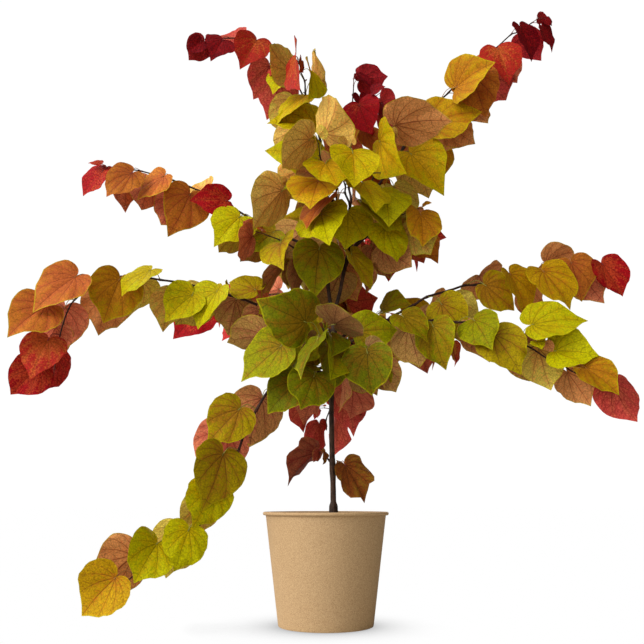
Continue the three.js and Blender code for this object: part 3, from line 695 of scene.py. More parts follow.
def endMaps(u, ends):
    # the map's places of the same triangles: each end gives the v of its middle point and of its ring
    maps = []
    for (middle, ring), (a, b) in zip(ends, ((u[1:], u[:-1]), (u[:-1], u[1:]))):
        across = np.stack([(a + b) / 2, a, b], -1)
        maps.append(np.stack([across, np.broadcast_to([middle, ring, ring], across.shape)], -1))
    return np.concatenate(maps)


def roundPart(rings, middles, v, ends, slot=0):
    # a closed round part: a grid of points, ring after ring, and a middle point for each end
    rows, sides = rings.shape[:2]
    u = np.linspace(0, 1, sides + 1)
    return makePart(np.concatenate([rings.reshape(-1, 3), middles]), gridFaces(rows, sides, True),
                    gridMap(u, v), endFans(rows, sides), endMaps(u, ends), slot)


def anglesRound(sides):
    return np.arange(sides) * 2 * math.pi / sides


def hump(s, at, width, power=2):
    # a rise to 1 at a place: exp(−((s − at) / width)^power)
    return np.exp(-((s - at) / width) ** power)


def smoothLine(points, steps):
    # a curve through the points: each stretch is a cubic whose slopes are those of its neighbours' chords
    padded = np.concatenate([[2 * points[0] - points[1]], points, [2 * points[-1] - points[-2]]])
    p0, p1, p2, p3 = (padded[k:len(padded) - 3 + k, None] for k in range(4))
    t = np.arange(steps)[None, :, None] / steps
    cubic = p1 + 0.5 * t * (p2 - p0 + t * (2 * p0 - 5 * p1 + 4 * p2 - p3 + t * (3 * (p1 - p2) + p3 - p0)))
    return np.concatenate([cubic.reshape(-1, 3), points[-1:]])


def lengthsAlong(line):
    return np.concatenate([[0], np.cumsum(np.linalg.norm(np.diff(line, axis=0), axis=1))])


tubeForm = {
    "upright": 0.9,  # a line that starts steeper than this takes its first cross direction from X
    "ends": (0.4, 0.6),  # how far its foot and its tip stand out, in radii
    "mapLength": 100,  # millimetres for one whole step of the map
}


def framesAlong(line):
    # two unit vectors across the line at each point, turned as little as can be from one to the next
    tangents = unit(np.gradient(line, axis=0))
    across = np.zeros_like(line)
    last = up if abs(tangents[0, 2]) < tubeForm["upright"] else np.array([1.0, 0, 0])
    for i, tangent in enumerate(tangents):
        last = unit(last - tangent * float(last @ tangent))
        across[i] = last
    return tangents, across, np.cross(tangents, across)


def tubePart(line, radii, sides, slot=0, relief=None):
    # a round rod: each point is line(s) + radius(s)·(1 + relief(s, a))·(cos a·across + sin a·third)
    tangents, across, third = framesAlong(line)
    along, angle = lengthsAlong(line), anglesRound(sides)
    radius = np.broadcast_to(radii[:, None], (len(line), sides))
    if relief:
        radius = radius * (1 + relief(along[:, None], angle[None, :]))
    ring = np.cos(angle)[None, :, None] * across[:, None] + np.sin(angle)[None, :, None] * third[:, None]
    atFoot, atTip = tubeForm["ends"]
    middles = [line[0] - tangents[0] * radii[0] * atFoot, line[-1] + tangents[-1] * radii[-1] * atTip]
    rings = line[:, None] + radius[..., None] * ring
    v = along / tubeForm["mapLength"]
    return roundPart(rings, middles, v, ((v[0], v[0]), (v[-1], v[-1])), slot)


# colours and shader groups

white = (1.0, 1.0, 1.0, 1.0)


def paint(colour):
    # a colour given as #rrggbb, as the shader's linear numbers
    value = np.array([int(colour[k:k + 2], 16) for k in (1, 3, 5)]) / 255
    linear = np.where(value <= 0.04045, value / 12.92, ((value + 0.055) / 1.055) ** 2.4)
    return tuple(float(c) for c in linear) + (1.0,)


class Value:
    # what a node puts out, so that sums and products of numbers read as plain arithmetic
    def __init__(self, tree, socket):
        self.tree = tree
        self.socket = socket

    def __add__(self, other):
        return self.tree.maths("ADD", self, other)

    def __sub__(self, other):
        return self.tree.maths("SUBTRACT", self, other)

    def __rsub__(self, other):
        return self.tree.maths("SUBTRACT", other, self)

    def __mul__(self, other):
        return self.tree.maths("MULTIPLY", self, other)

    def __truediv__(self, other):
        return self.tree.maths("DIVIDE", self, other)

    def __abs__(self):
        return self.tree.maths("ABSOLUTE", self)

    def scaled(self, slope, start):
        return self.tree.maths("MULTIPLY_ADD", self, slope, start)


class Tree:
    # a node tree with short ways to add and join nodes
    def __init__(self, tree):
        self.tree = tree

    def put(self, sockets, values):
        # joins each value to its socket, or sets a plain number or colour there
        for socket, value in zip(sockets, values):
            if isinstance(value, Value):
                self.tree.links.new(value.socket, socket)
            else:
                socket.default_value = value

    def add(self, kind, settings=None, **values):
        node = self.tree.nodes.new(kind)
        for key, value in (settings or {}).items():
            setattr(node, key, value)
        self.put([node.inputs[key.replace("_", " ")] for key in values], values.values())
        return node

    def get(self, kind, output, settings=None, **values):
        # one output of a new node
        return Value(self, self.add(kind, settings, **values).outputs[output])

    def maths(self, operation, *values):
        node = self.add("ShaderNodeMath", {"operation": operation})
        self.put(node.inputs, values)
        return Value(self, node.outputs[0])

    def largest(self, first, *others):
        for other in others:
            first = self.maths("MAXIMUM", first, other)
        return first

    def mix(self, share, first, second):
        node = self.add("ShaderNodeMix", {"data_type": "RGBA"})
        self.put([node.inputs[k] for k in (0, 6, 7)], (share, first, second))  # the factor and the colours
        return Value(self, node.outputs[2])

    def spread(self, value, low, high, first=0.0, second=1.0):
        # a smooth rise from first to second as the value goes from low to high
        return self.get("ShaderNodeMapRange", "Result", {"interpolation_type": "SMOOTHSTEP"}, Value=value,
                        From_Min=low, From_Max=high, To_Min=first, To_Max=second)

    def noise(self, vector, scale, detail=2.0, roughness=0.5):
        return self.get("ShaderNodeTexNoise", "Fac", Vector=vector, Scale=scale, Detail=detail,
                        Roughness=roughness)

    def place(self):
        return self.get("ShaderNodeTexCoord", "Object")

    def map(self, name):
        return self.get("ShaderNodeUVMap", "UV", {"uv_map": name})

    def attribute(self, name):
        return self.get("ShaderNodeAttribute", "Fac", {"attribute_name": name})

    def stretched(self, vector, scale):
        return self.get("ShaderNodeMapping", "Vector", Vector=vector, Scale=scale)

    def byRay(self, forOthers, forCamera):
        # one shader for the camera's own rays and another one for all others
        node = self.add("ShaderNodeMixShader")
        self.put(node.inputs, (self.get("ShaderNodeLightPath", "Is Camera Ray"), forOthers, forCamera))
        return Value(self, node.outputs[0])


def emptyTree(owner):
    owner.use_nodes = True
    owner.node_tree.nodes.clear()
    return Tree(owner.node_tree)


def makeGroup(name, pattern, colours, numbers):
    # a shader group whose pattern works out colour, roughness and height from its inputs
    group = bpy.data.node_groups.new(name, "ShaderNodeTree")
    inputs = [(key, "Color") for key in colours] + [(key, "Float") for key in numbers]
    outputs = [("Color", "Color"), ("Roughness", "Float"), ("Height", "Float")]
    for direction, sockets in (("INPUT", inputs), ("OUTPUT", outputs)):
        for key, kind in sockets:
            group.interface.new_socket(name=key, in_out=direction, socket_type="NodeSocket" + kind)
    tree = Tree(group)
    given = tree.add("NodeGroupInput").outputs
    worked = pattern(tree, {key: Value(tree, given[key]) for key, kind in inputs})
    tree.put(tree.add("NodeGroupOutput").inputs, worked)
    return group


def makeMaterial(name, group, values, bump, shine=0.5):
    # a Principled shader whose colour, roughness and bump come from the group
    material = bpy.data.materials.new(name)
    tree = emptyTree(material)
    pattern = tree.add("ShaderNodeGroup", {"node_tree": group}, **values)
    colour, roughness, height = [Value(tree, socket) for socket in pattern.outputs]
    strength, distance = bump
    normal = tree.get("ShaderNodeBump", "Normal", Strength=strength, Distance=distance, Height=height)
    surface = tree.get("ShaderNodeBsdfPrincipled", "BSDF", Base_Color=colour, Roughness=roughness,
                       Normal=normal, Specular_IOR_Level=shine)
    tree.add("ShaderNodeOutputMaterial", Surface=surface)
    return material


blade = {
    "columns": 40,  # from one lobe over the tip to the other
    "turn": 172,  # degrees from the tip round to the notch
    "rings": [0.25, 0.52, 0.78, 1.0],  # shares of the way from the stalk to the edge
    "veinEvery": 34.4,  # degrees from one main vein to the next
    "veinBend": 0.3,  # how far the main veins lean to the tip on their way to the edge
    "thick": (0.5, 0.22),  # at the stalk and at the edge
    "tipSpread": 0.06,  # how much the tip's length differs from leaf to leaf
    "tipSway": 0.05,  # how far the tip bends to one side
    "swayFrom": (0.45, 1.1),  # where that starts and where it is whole, in leaf lengths
    "belly": (0.01, 0.085),  # how far the sides swell between the shoulder and the tip
    "bellyAt": 33,  # degrees from the tip
    "bellyWidth": 17,
    "uneven": 0.035,
    "unevenWaves": [(0.7, 2, 0), (0.5, 5, 1), (0.35, 11, 2)],  # weight, waves in a turn, which phase
    "shoulder": 0.022,  # how far the edge stands out where a main vein ends
    "besideTip": (0.2, 0.6),  # radians from the tip within which the edge stays smooth
    "ragged": 0.12,
    "bites": (9, 4),  # waves in a turn whose product bites into a dry leaf's edge
    "jagged": 0.07,
    "jags": (23, 17),
    "jagsFrom": (0.1, 0.4),
    "fold": (0.03, 0.13, 0.23, 0.4),  # from the flattest leaf to the most folded one
    "crease": 0.0245,  # roundness of the fold along the midrib
    "puff": 0.022,  # swelling between the main veins
    "puffFull": 0.5,  # share of the way to the edge where it is whole
    "wave": 0.065,
    "edgeWaves": [(0.6, 3, 2), (0.4, 7, 3)],
    "twist": 0.2,
    "tipCurl": 0.07,
    "curlFrom": (0.6, 1.15),
    "shade": (0.92, 1.05),
    "patched": (-0.14, 0.16),
    "cell": (1.3, 1.5),  # width and height of a leaf side's cell on the baking map, in leaf lengths
    "cellMiddle": (0, 0.33),
    "cellRim": 1.07,  # the edge's wall is laid flat outside the upper side
}

# in these, a noise has its scale, detail and roughness, and a spread its two limits and what it gives there
leafSurface = {
    "reach": 0.8,  # from the stalk to the edge, in leaf lengths
    "veinWidth": (0.0135, 0.0055),  # of a main vein at the stalk and at the edge
    "core": (1.0, 0.35),
    "halo": (3.2, 0.6, 0.0, 0.26),
    "waverScale": 55.0,
    "waver": 0.1,
    "chevron": 1.25,  # how much the side veins lean to the tip
    "sideVeins": 5.0,  # from the stalk to the edge
    "sideVein": (0.075, 0.02, 0.0, 0.7),
    "sideFade": (0.28, 0.08, 0.5, 0.9),  # away from the main vein
    "sideStart": (0.12, 0.3),  # away from the stalk
    "cells": 210.0,
    "net": (0.12, 0.02, 0.0, 0.3),
    "blotch": (36.0, 4.0, 0.6),
    "speck": (400.0, 2.0, 0.7),
    "speckShare": 1.1,
    "byVein": (0.07, 1.3),  # patches thin out past the first, by the second
    "byStalk": (0.6, 0.22),
    "patches": (0.4, 0.64),
    "rim": (0.955, 0.985, 0.0, 0.5),
    "bright": (1.8, 0.2),  # slope and start over the specks
    "rough": (0.2, 0.5),
    "fine": (260.0, 2.0),
    "heights": (0.5, 0.8),  # of the fine noise and of the sunken veins
}


def leafPattern(tree, given):
    # u runs round the blade from one lobe over the tip to the other, v from the stalk to the edge; main
    # veins fan out from the stalk and bend to the tip, side veins leave them in chevrons, and a fine net of
    # cells lies between
    look, place = leafSurface, tree.place()
    uv = tree.add("ShaderNodeSeparateXYZ", Vector=tree.map("leafMap")).outputs
    u, v = Value(tree, uv["X"]), Value(tree, uv["Y"])
    straightened = abs(u - 0.5) * (2 * math.pi) / (1 - v * blade["veinBend"])
    away = tree.maths("PINGPONG", straightened, math.radians(blade["veinEvery"]) / 2) * v * look["reach"]
    atStalk, atEdge = look["veinWidth"]
    widths = away / v.scaled(atEdge - atStalk, atStalk)
    waver = (tree.noise(place, look["waverScale"]) - 0.5) * look["waver"]
    across = tree.maths("PINGPONG", (v - away * look["chevron"] + waver) * look["sideVeins"], 0.5)
    sideVein = tree.spread(across, *look["sideVein"]) * tree.spread(away, *look["sideFade"])
    cells = tree.get("ShaderNodeTexVoronoi", "Distance", {"feature": "DISTANCE_TO_EDGE"}, Vector=place,
                     Scale=look["cells"])
    veins = tree.largest(
        tree.spread(widths, *look["core"]), tree.spread(widths, *look["halo"]),
        sideVein * tree.spread(v, *look["sideStart"]), tree.spread(cells, *look["net"]))

    speck = tree.noise(place, *look["speck"])
    mottle = tree.noise(place, *look["blotch"]) + (speck - 0.5) * look["speckShare"]
    for distance, (middle, slope) in ((away, look["byVein"]), (v, look["byStalk"])):
        mottle = mottle - (distance - middle) * slope
    patches = tree.spread(mottle + tree.attribute("patched"), *look["patches"])
    colour = tree.mix(patches * given["Patch Share"], given["Main"], given["Patch"])
    colour = tree.mix(veins * given["Vein Share"], colour, given["Vein"])
    colour = tree.mix(tree.spread(v, *look["rim"]), colour, given["Edge"])
    bright = speck.scaled(*look["bright"]) * tree.attribute("shade")
    colour = tree.get("ShaderNodeVectorMath", "Vector", {"operation": "SCALE"}, Vector=colour, Scale=bright)
    fineHeight, veinDepth = look["heights"]
    height = tree.noise(place, *look["fine"]) * fineHeight - veins * veinDepth
    return colour, speck.scaled(*look["rough"]), height


barkSurface = {
    "stretch": (9.0, 2.2, 1.0),  # round the stem, along it
    "streaks": (3.0, 4.0, 0.65),
    "grain": (1100.0, 3.0, 0.6),
    "blotch": (90.0, 2.0),
    "spotStretch": (5.0, 9.0, 1.0),
    "spotScale": 1.6,
    "spotSpread": 0.9,
    "spots": (0.17, 0.1),
    "lights": (0.6, 0.5),  # shares of the streaks and of the blotches
    "light": (0.4, 0.78),
    "grainLight": (0.9, 0.5),
    "rough": (0.3, 0.5),
    "heights": (0.8, 0.4, 0.5),  # of streaks, grain and spots
}


def barkPattern(tree, given):
    # fine bark running along a stem, with pale cork spots across it
    look, place, uv = barkSurface, tree.place(), tree.map("barkMap")
    streaks = tree.noise(tree.stretched(uv, look["stretch"]), *look["streaks"])
    grain, blotch = tree.noise(place, *look["grain"]), tree.noise(place, *look["blotch"])
    cells = tree.get("ShaderNodeTexVoronoi", "Distance", Vector=tree.stretched(uv, look["spotStretch"]),
                     Scale=look["spotScale"], Randomness=look["spotSpread"])
    spots = tree.spread(cells, *look["spots"])
    streakLight, blotchLight = look["lights"]
    light = tree.spread(streaks * streakLight + blotch * blotchLight, *look["light"])
    colour = tree.mix(light * grain.scaled(*look["grainLight"]), given["Dark"], given["Light"])
    colour = tree.mix(spots * given["Spot Share"], colour, given["Spot"])
    ofStreaks, ofGrain, ofSpots = look["heights"]
    return colour, streaks.scaled(*look["rough"]), streaks * ofStreaks + grain * ofGrain + spots * ofSpots


grainSurface = {
    "coarse": (3.0, 0.6),  # detail and roughness; the scales are the materials' own
    "fine": (3.0, 0.7),
    "flecks": (0.42, 0.2),
    "fleckStrength": 0.8,
    "coarseShare": 0.5,
    "blend": (0.35, 0.65),
    "rough": 0.15,
    "coarseHeight": 0.5,
}


def grainPattern(tree, given):
    # two noises of the object's own scale over two colours, with small flecks of a third
    look, place = grainSurface, tree.place()
    coarse = tree.noise(place, given["Coarse"], *look["coarse"])
    fine = tree.noise(place, given["Fine"], *look["fine"])
    cells = tree.add("ShaderNodeTexVoronoi", Vector=place, Scale=given["Fleck Size"]).outputs
    chosen = tree.get("ShaderNodeSeparateColor", "Red", Color=Value(tree, cells["Color"]))
    flecks = tree.spread(Value(tree, cells["Distance"]), *look["flecks"])
    flecks = flecks * tree.maths("LESS_THAN", chosen, given["Fleck Share"]) * look["fleckStrength"]
    share = coarse * look["coarseShare"] + fine * (1 - look["coarseShare"])
    colour = tree.mix(tree.spread(share, *look["blend"]), given["Main"], given["Other"])
    colour = tree.mix(flecks, colour, given["Fleck"])
    return colour, fine.scaled(look["rough"], given["Rough"]), fine + coarse * look["coarseHeight"]


leafGroup = makeGroup("leafPattern", leafPattern, ["Main", "Patch", "Vein", "Edge"],
                      ["Patch Share", "Vein Share"])
barkGroup = makeGroup("barkPattern", barkPattern, ["Dark", "Light", "Spot"], ["Spot Share"])
grainGroup = makeGroup("grainPattern", grainPattern, ["Main", "Other", "Fleck"],
                       ["Coarse", "Fine", "Fleck Size", "Fleck Share", "Rough"])


# bark: the trunk, its boughs, the twigs and the stalks

barkLook = {  # dark, light, spots and how strong they are
    "bark": ("#1e130d", "#5a4030", "#7e6450", 0.35),
    "twig": ("#1e120d", "#4e3024", "#8c6c56", 0.4),
    "youngTwig": ("#46201a", "#7c4036", "#a8846c", 0.3),
    "stalkGreen": ("#7d7c30", "#a8a04a", "#b8a860", 0.1),
    "stalkAmber": ("#8a5a30", "#b0803c", "#c09a60", 0.1),
    "stalkRed": ("#702426", "#a04440", "#b86a5c", 0.1),
}
barks = {
    name: makeMaterial(name, barkGroup, {
        "Dark": paint(dark), "Light": paint(light), "Spot": paint(spot), "Spot Share": share},
        bump=(0.6, 0.0006), shine=0.2)
    for name, (dark, light, spot, share) in barkLook.items()}

limbForm = {
    "steps": 8,
    "sides": 28,
    "flare": 1.3,  # how much thicker the trunk's foot is
    "flareFade": 14,
    "burl": 1.9,
    "burlAt": 15,
    "burlWidth": 9,
    "burlPower": 6,
    "joint": 9,
    "jointSwell": 0.16,
    "relief": 0.035,
    "ridges": [(0.5, 0.16, 5), (0.3, 0.31, 9), (0.35, 0.07, 3), (0.3, 0.5, 2)],  # weight, along, round
    "knots": [(0.5, 0.09, 1), (0.4, 0.23, 2)],
    "seed": 7,
}


def limbPart(name):
    # a limb's tube: radius = straight taper + the trunk's flare and burl, times a swelling at each joint and
    # the relief of long ridges and small knots
    line = smoothLine(lines[name], limbForm["steps"])
    along = lengthsAlong(line)
    radii = radiiOf(limbs[name], line)
    if name == "trunk":
        radii = radii + limbForm["flare"] * np.exp(-along / limbForm["flareFade"])
        burl = hump(along, limbForm["burlAt"], limbForm["burlWidth"], limbForm["burlPower"])
        radii = radii + limbForm["burl"] * burl
    for item in [*limbs.values(), *masses.values()]:
        if item.get("parent") == name:
            joint = hump(along, item["at"] * along[-1], limbForm["joint"])
            radii = radii * (1 + limbForm["jointSwell"] * joint)

    seed = len(name) + limbForm["seed"]

    def relief(s, a):
        ridges, knots = ripple(seed, limbForm["ridges"], s, a), ripple(seed + 1, limbForm["knots"], s, a)
        return limbForm["relief"] * (ridges + knots)

    return tubePart(line, radii, limbForm["sides"], relief=relief)


for name in limbs:
    mesh = fillMesh(name + "Bark", [limbPart(name)], "barkMap")
    addPiece(mesh, [barks["bark"]], name)
print("made: the trunk and", len(limbs) - 1, "boughs")

twigForm = {
    "steps": 5,
    "sides": 8,
    "thickSides": 12,
    "thickFrom": 2,  # radius
    "swell": 0.3,  # at each node
    "swellLength": 2.2,
    "collar": 0.5,  # at the twig's foot
    "collarLength": 5,
    "join": 22,  # length over which a shoot takes over its bough's thickness
}
budForm = {
    "radius": 1.0,
    "length": 4.16,
    "sizes": (0.8, 1.3),
    "fineSize": 0.7,  # on the finer twigs
    "sides": 6,
    "out": 0.9,
    "lift": 0.3,
    "sunk": 0.5,  # its foot's distance from the twig's middle, in the twig's radii
    "places": [0, 0.3, 0.6, 0.85, 1],
    "radii": [0.55, 1, 0.9, 0.5, 0.12],
}


def budPart(foot, way, size, slot):
    # a small egg-shaped bud
    line = foot + np.outer(budForm["places"], way) * budForm["length"] * size
    return tubePart(line, np.array(budForm["radii"]) * budForm["radius"] * size, budForm["sides"], slot)


def twigParts(shoot, mass):
    # a shoot's tube: radius = straight taper, times a collar at its foot and a swelling at each node; a
    # small bud stands beside each leaf's stalk and one at the tip
    nodes = shoot["line"]
    line = smoothLine(nodes, twigForm["steps"])
    along = lengthsAlong(line)
    radii = radiiOf(shoot, line)
    isFine = shoot["radius"] == fineHabit["radius"]
    if not isFine:
        radii = radii * (1 + twigForm["collar"] * np.exp(-along / twigForm["collarLength"]))
    if mass["at"] == 1 and shoot["radius"] == mainHabit["radius"]:
        bough, tip = limbs[mass["parent"]]["radius"][1], shoot["radius"][1]
        radii = np.maximum(radii, tip + (bough - tip) * np.exp(-along / twigForm["join"]))
    for at in along[::twigForm["steps"]][1:]:
        radii = radii * (1 + twigForm["swell"] * hump(along, at, twigForm["swellLength"]))
    sides = twigForm["thickSides" if shoot["radius"][0] > twigForm["thickFrom"] else "sides"]
    young = barkSlots.index("youngTwig")
    parts = [tubePart(line, radii, sides, young if isFine else barkSlots.index("twig"))]
    dice = makeDice(shoot["seed"] + seedShift["buds"])
    for k in range(1, len(nodes)):
        way = unit(nodes[k] - nodes[k - 1])
        if k < len(nodes) - 1:
            side = unit(np.cross(way, up)) * (1 if k % 2 else -1)
            way = unit(way + side * budForm["out"] + up * budForm["lift"] * dice())
        size = (budForm["fineSize"] if isFine else 1) * ramp(budForm["sizes"], dice())
        foot = nodes[k] + way * radii[k * twigForm["steps"]] * budForm["sunk"]
        parts.append(budPart(foot, way, size, young))
    return parts


stalkForm = {
    "sides": 6,
    "steps": 5,
    "places": [0, 0.08, 0.3, 0.7, 0.9, 1],
    "radii": [1.25, 0.8, 0.55, 0.55, 0.95, 0.6],
    "thinnest": 0.45,  # share of that on the smallest leaf
    "fullLength": 70,  # of a leaf whose stalk has the whole of it
    "intoLeaf": 2.5,
    "underLeaf": 0.45,
}


def stalkPart(leaf, slot):
    # a leaf's stalk: swollen where it leaves the twig and again under the blade
    share = leaf["length"] / stalkForm["fullLength"]
    size = min(1.0, stalkForm["thinnest"] + (1 - stalkForm["thinnest"]) * share)
    end = leaf["base"] + leaf["along"] * stalkForm["intoLeaf"] * size - leaf["face"] * stalkForm["underLeaf"]
    line = smoothLine(np.array([*leaf["stalk"], end]), stalkForm["steps"])
    along = lengthsAlong(line)
    radii = np.interp(along / along[-1], stalkForm["places"], stalkForm["radii"]) * size
    return tubePart(line, radii, stalkForm["sides"], slot)


# leaves

leafTints = {  # upper side, its veins and its patches, then the same three of the underside
    "forest": ("#6a6e02", "#3e3a00", "#7a5808", "#9e8044", "#5a3620", "#a26c44"),
    "green": ("#868600", "#504206", "#8c6a0c", "#b48a48", "#683420", "#b27046"),
    "olive": ("#a48e04", "#623e12", "#9a6814", "#c68a50", "#703220", "#ba6c48"),
    "lime": ("#b0aa00", "#706400", "#b09600", "#c8b448", "#844e28", "#c89444"),
    "yellow": ("#b8a402", "#886600", "#bc8c08", "#d6b054", "#8a502a", "#cc9044"),
    "gold": ("#b28a06", "#7a440e", "#a6680e", "#da9658", "#843f26", "#c87e46"),
    "orange": ("#b86c22", "#7c341a", "#aa5424", "#dc845c", "#883a2c", "#c46648"),
    "rust": ("#a86018", "#5a2410", "#924412", "#cc7250", "#742a20", "#b2543e"),
    "red": ("#9e1c18", "#8c4412", "#aa4c20", "#b84038", "#741a18", "#b4503a"),
    "crimson": ("#960812", "#5c0a0a", "#a83a1c", "#b22824", "#621012", "#b63c2a"),
    "wine": ("#6c0712", "#380306", "#840e12", "#8e181e", "#4a0a12", "#9a2422"),
    "brown": ("#966820", "#44200e", "#86421a", "#a85a3c", "#54201a", "#903628"),
}
stalkOf = {  # the redder tints have red stalks and no pale edge
    **dict.fromkeys(["forest", "green", "olive", "lime", "yellow"], "stalkGreen"),
    **dict.fromkeys(["gold", "orange"], "stalkAmber"),
}
leafLook = {"edge": "#b0a808", "patchShare": 0.9, "upperVeins": 0.85, "underVeins": 0.95,
            "bump": (0.6, 0.001), "shine": 0.07}


def leafMaterials():
    # for each tint one material for the upper side and one for the underside
    made = {}
    for tint, colours in leafTints.items():
        for side, (main, vein, patch) in (("upper", colours[:3]), ("under", colours[3:])):
            edge = leafLook["edge"] if tint in stalkOf else main
            made[tint, side] = makeMaterial(
                f"{tint}Leaf{side.capitalize()}", leafGroup,
                {"Main": paint(main), "Patch": paint(patch), "Vein": paint(vein), "Edge": paint(edge),
                 "Patch Share": leafLook["patchShare"], "Vein Share": leafLook[side + "Veins"]},
                leafLook["bump"], leafLook["shine"])
    return made


leafColours = leafMaterials()
turned = [0, 3, 2, 1]  # a quad's corners the other way round, cut along the same diagonal


def bladeTemplate():
    # the faces of every blade: a fan round the stalk and rings of quads, above and below, with walls between
    columns, rings = blade["columns"] + 1, len(blade["rings"])
    theta = math.radians(blade["turn"]) * np.linspace(-1, 1, columns)
    below = 1 + rings * columns
    j = np.arange(columns - 1)
    fan = np.stack([0 * j, 2 + j, 1 + j], -1)
    rim = below - columns + np.arange(columns)
    first = np.concatenate([[0], 1 + np.arange(rings) * columns])
    final = np.concatenate([[0], columns + np.arange(rings) * columns])

    def wall(line):
        # quads from a line of the upper side down to the same line of the underside
        a, b = line[:-1], line[1:]
        return np.stack([a, b, b + below, a + below], -1)

    return dict(
        rho=np.concatenate([[0], np.repeat(blade["rings"], columns)]),
        theta=np.concatenate([[0], np.tile(theta, rings)]), below=below, top=1 + gridFaces(rings, columns),
        fan=fan, walls=np.concatenate([wall(rim), wall(final[::-1]), wall(first)]))


template = bladeTemplate()
top, fan, walls, below = (template[key] for key in ("top", "fan", "walls", "below"))


def bladeMap():
    # places on the pattern's map: a fan's corner at the stalk takes the middle of its two angles, and a wall
    # along the notch takes one angle for all its corners
    place = np.tile(np.stack([0.5 + template["theta"] / (2 * math.pi), template["rho"]], -1), (2, 1))
    fanMap, wallMap = place[fan], place[walls]
    fanMap[:, 0, 0] = fanMap[:, 1:, 0].mean(1)
    wallMap[len(fan):, :, 0] = wallMap[len(fan):, :, 0].max(1, keepdims=True)
    quadMap = np.concatenate([place[top], place[top[:, turned]], wallMap])
    return quadMap, np.concatenate([fanMap, fanMap[:, ::-1]])


quadMap, fanMap = bladeMap()
bladeQuads = np.concatenate([top, top[:, turned] + below, walls])
bladeFans = np.concatenate([fan, fan[:, ::-1] + below])


def leafThrows(order):
    # a leaf's own throws: four phases for its waves, and a number from 0 to 1 for each of its traits
    rng = np.random.default_rng(order)
    phases = rng.uniform(0, 2 * math.pi, 4)
    traits = ["tip", "shoulder", "fold", "twist", "shade", "patched", "belly", "sway"]
    return phases, dict(zip(traits, rng.uniform(size=len(traits))))


def waves(rows, theta, phases):
    # a sum of sines round the blade: weight·sin(count·angle + phase)
    return sum(weight * np.sin(count * theta + phases[k]) for weight, count, k in rows)


def beats(counts, theta, phases):
    # the product of two sines round the blade
    return np.sin(counts[0] * theta + phases[0]) * np.sin(counts[1] * theta + phases[1])


def bladeOutline(ragged, phases, traits):
    # the edge's distance from the stalk: the leaf's radius, times swollen sides, unevenness and a shoulder
    # at each main vein's end, and for a dry leaf times its bites and jags
    theta, rho = template["theta"], template["rho"]
    fromTip = np.abs(theta)
    besideTip = smoothStep(*blade["besideTip"], fromTip)
    outline = leafRadius(theta, leafForm["tip"] + (2 * traits["tip"] - 1) * blade["tipSpread"])
    belly = hump(np.degrees(fromTip), blade["bellyAt"], blade["bellyWidth"])
    outline = outline * (1 + ramp(blade["belly"], traits["belly"]) * belly)
    uneven = blade["uneven"] * waves(blade["unevenWaves"], theta, phases)
    outline = outline * (1 + uneven * np.cos(theta / 2))
    veinEnds = np.cos(2 * math.pi * theta / (1 - blade["veinBend"]) / math.radians(blade["veinEvery"]))
    outline = outline * (1 + blade["shoulder"] * traits["shoulder"] * veinEnds * besideTip)
    if ragged:
        bites = np.maximum(0, beats(blade["bites"], theta, phases[2:])) ** 2 * besideTip
        jags = beats(blade["jags"], theta, phases) * rho ** 4 * smoothStep(*blade["jagsFrom"], fromTip)
        outline = outline * (1 - blade["ragged"] * ragged * bites) * (1 + blade["jagged"] * ragged * jags)
    return outline


def bladeHeight(x, y, leaf, ragged, phases, traits):
    # z = fold·|x| − droop·(y² + x²/2) + swellings between the veins + waves of the edge + twist·x·y
    # − curl of the tip
    theta, rho = template["theta"], template["rho"]
    fade = np.cos(theta / 2)
    fold = ramp(blade["fold"], traits["fold"]) * (np.hypot(x, blade["crease"]) - blade["crease"])
    droop = leafForm["droop"] * leaf["curl"] * (y * y + 0.5 * x * x)
    sector = np.abs(theta) / (1 - blade["veinBend"] * rho) / math.radians(blade["veinEvery"])
    puff = (0.5 - 0.5 * np.cos(2 * math.pi * sector)) * smoothStep(0, blade["puffFull"], rho)
    wave = (1 + ragged) * rho ** 2 * waves(blade["edgeWaves"], theta, phases)
    twist = blade["twist"] * (2 * traits["twist"] - 1) * x * y
    curl = blade["tipCurl"] * leaf["curl"] * smoothStep(*blade["curlFrom"], y)
    return fold - droop + blade["puff"] * puff * fade + blade["wave"] * wave * fade + twist - curl


def cellPlaces(flat, cell, across):
    # a leaf side laid flat into its own cell of the baking map
    corner = np.array([cell % across, cell // across])
    return (corner + 0.5 + (flat - blade["cellMiddle"]) / blade["cell"]) / across


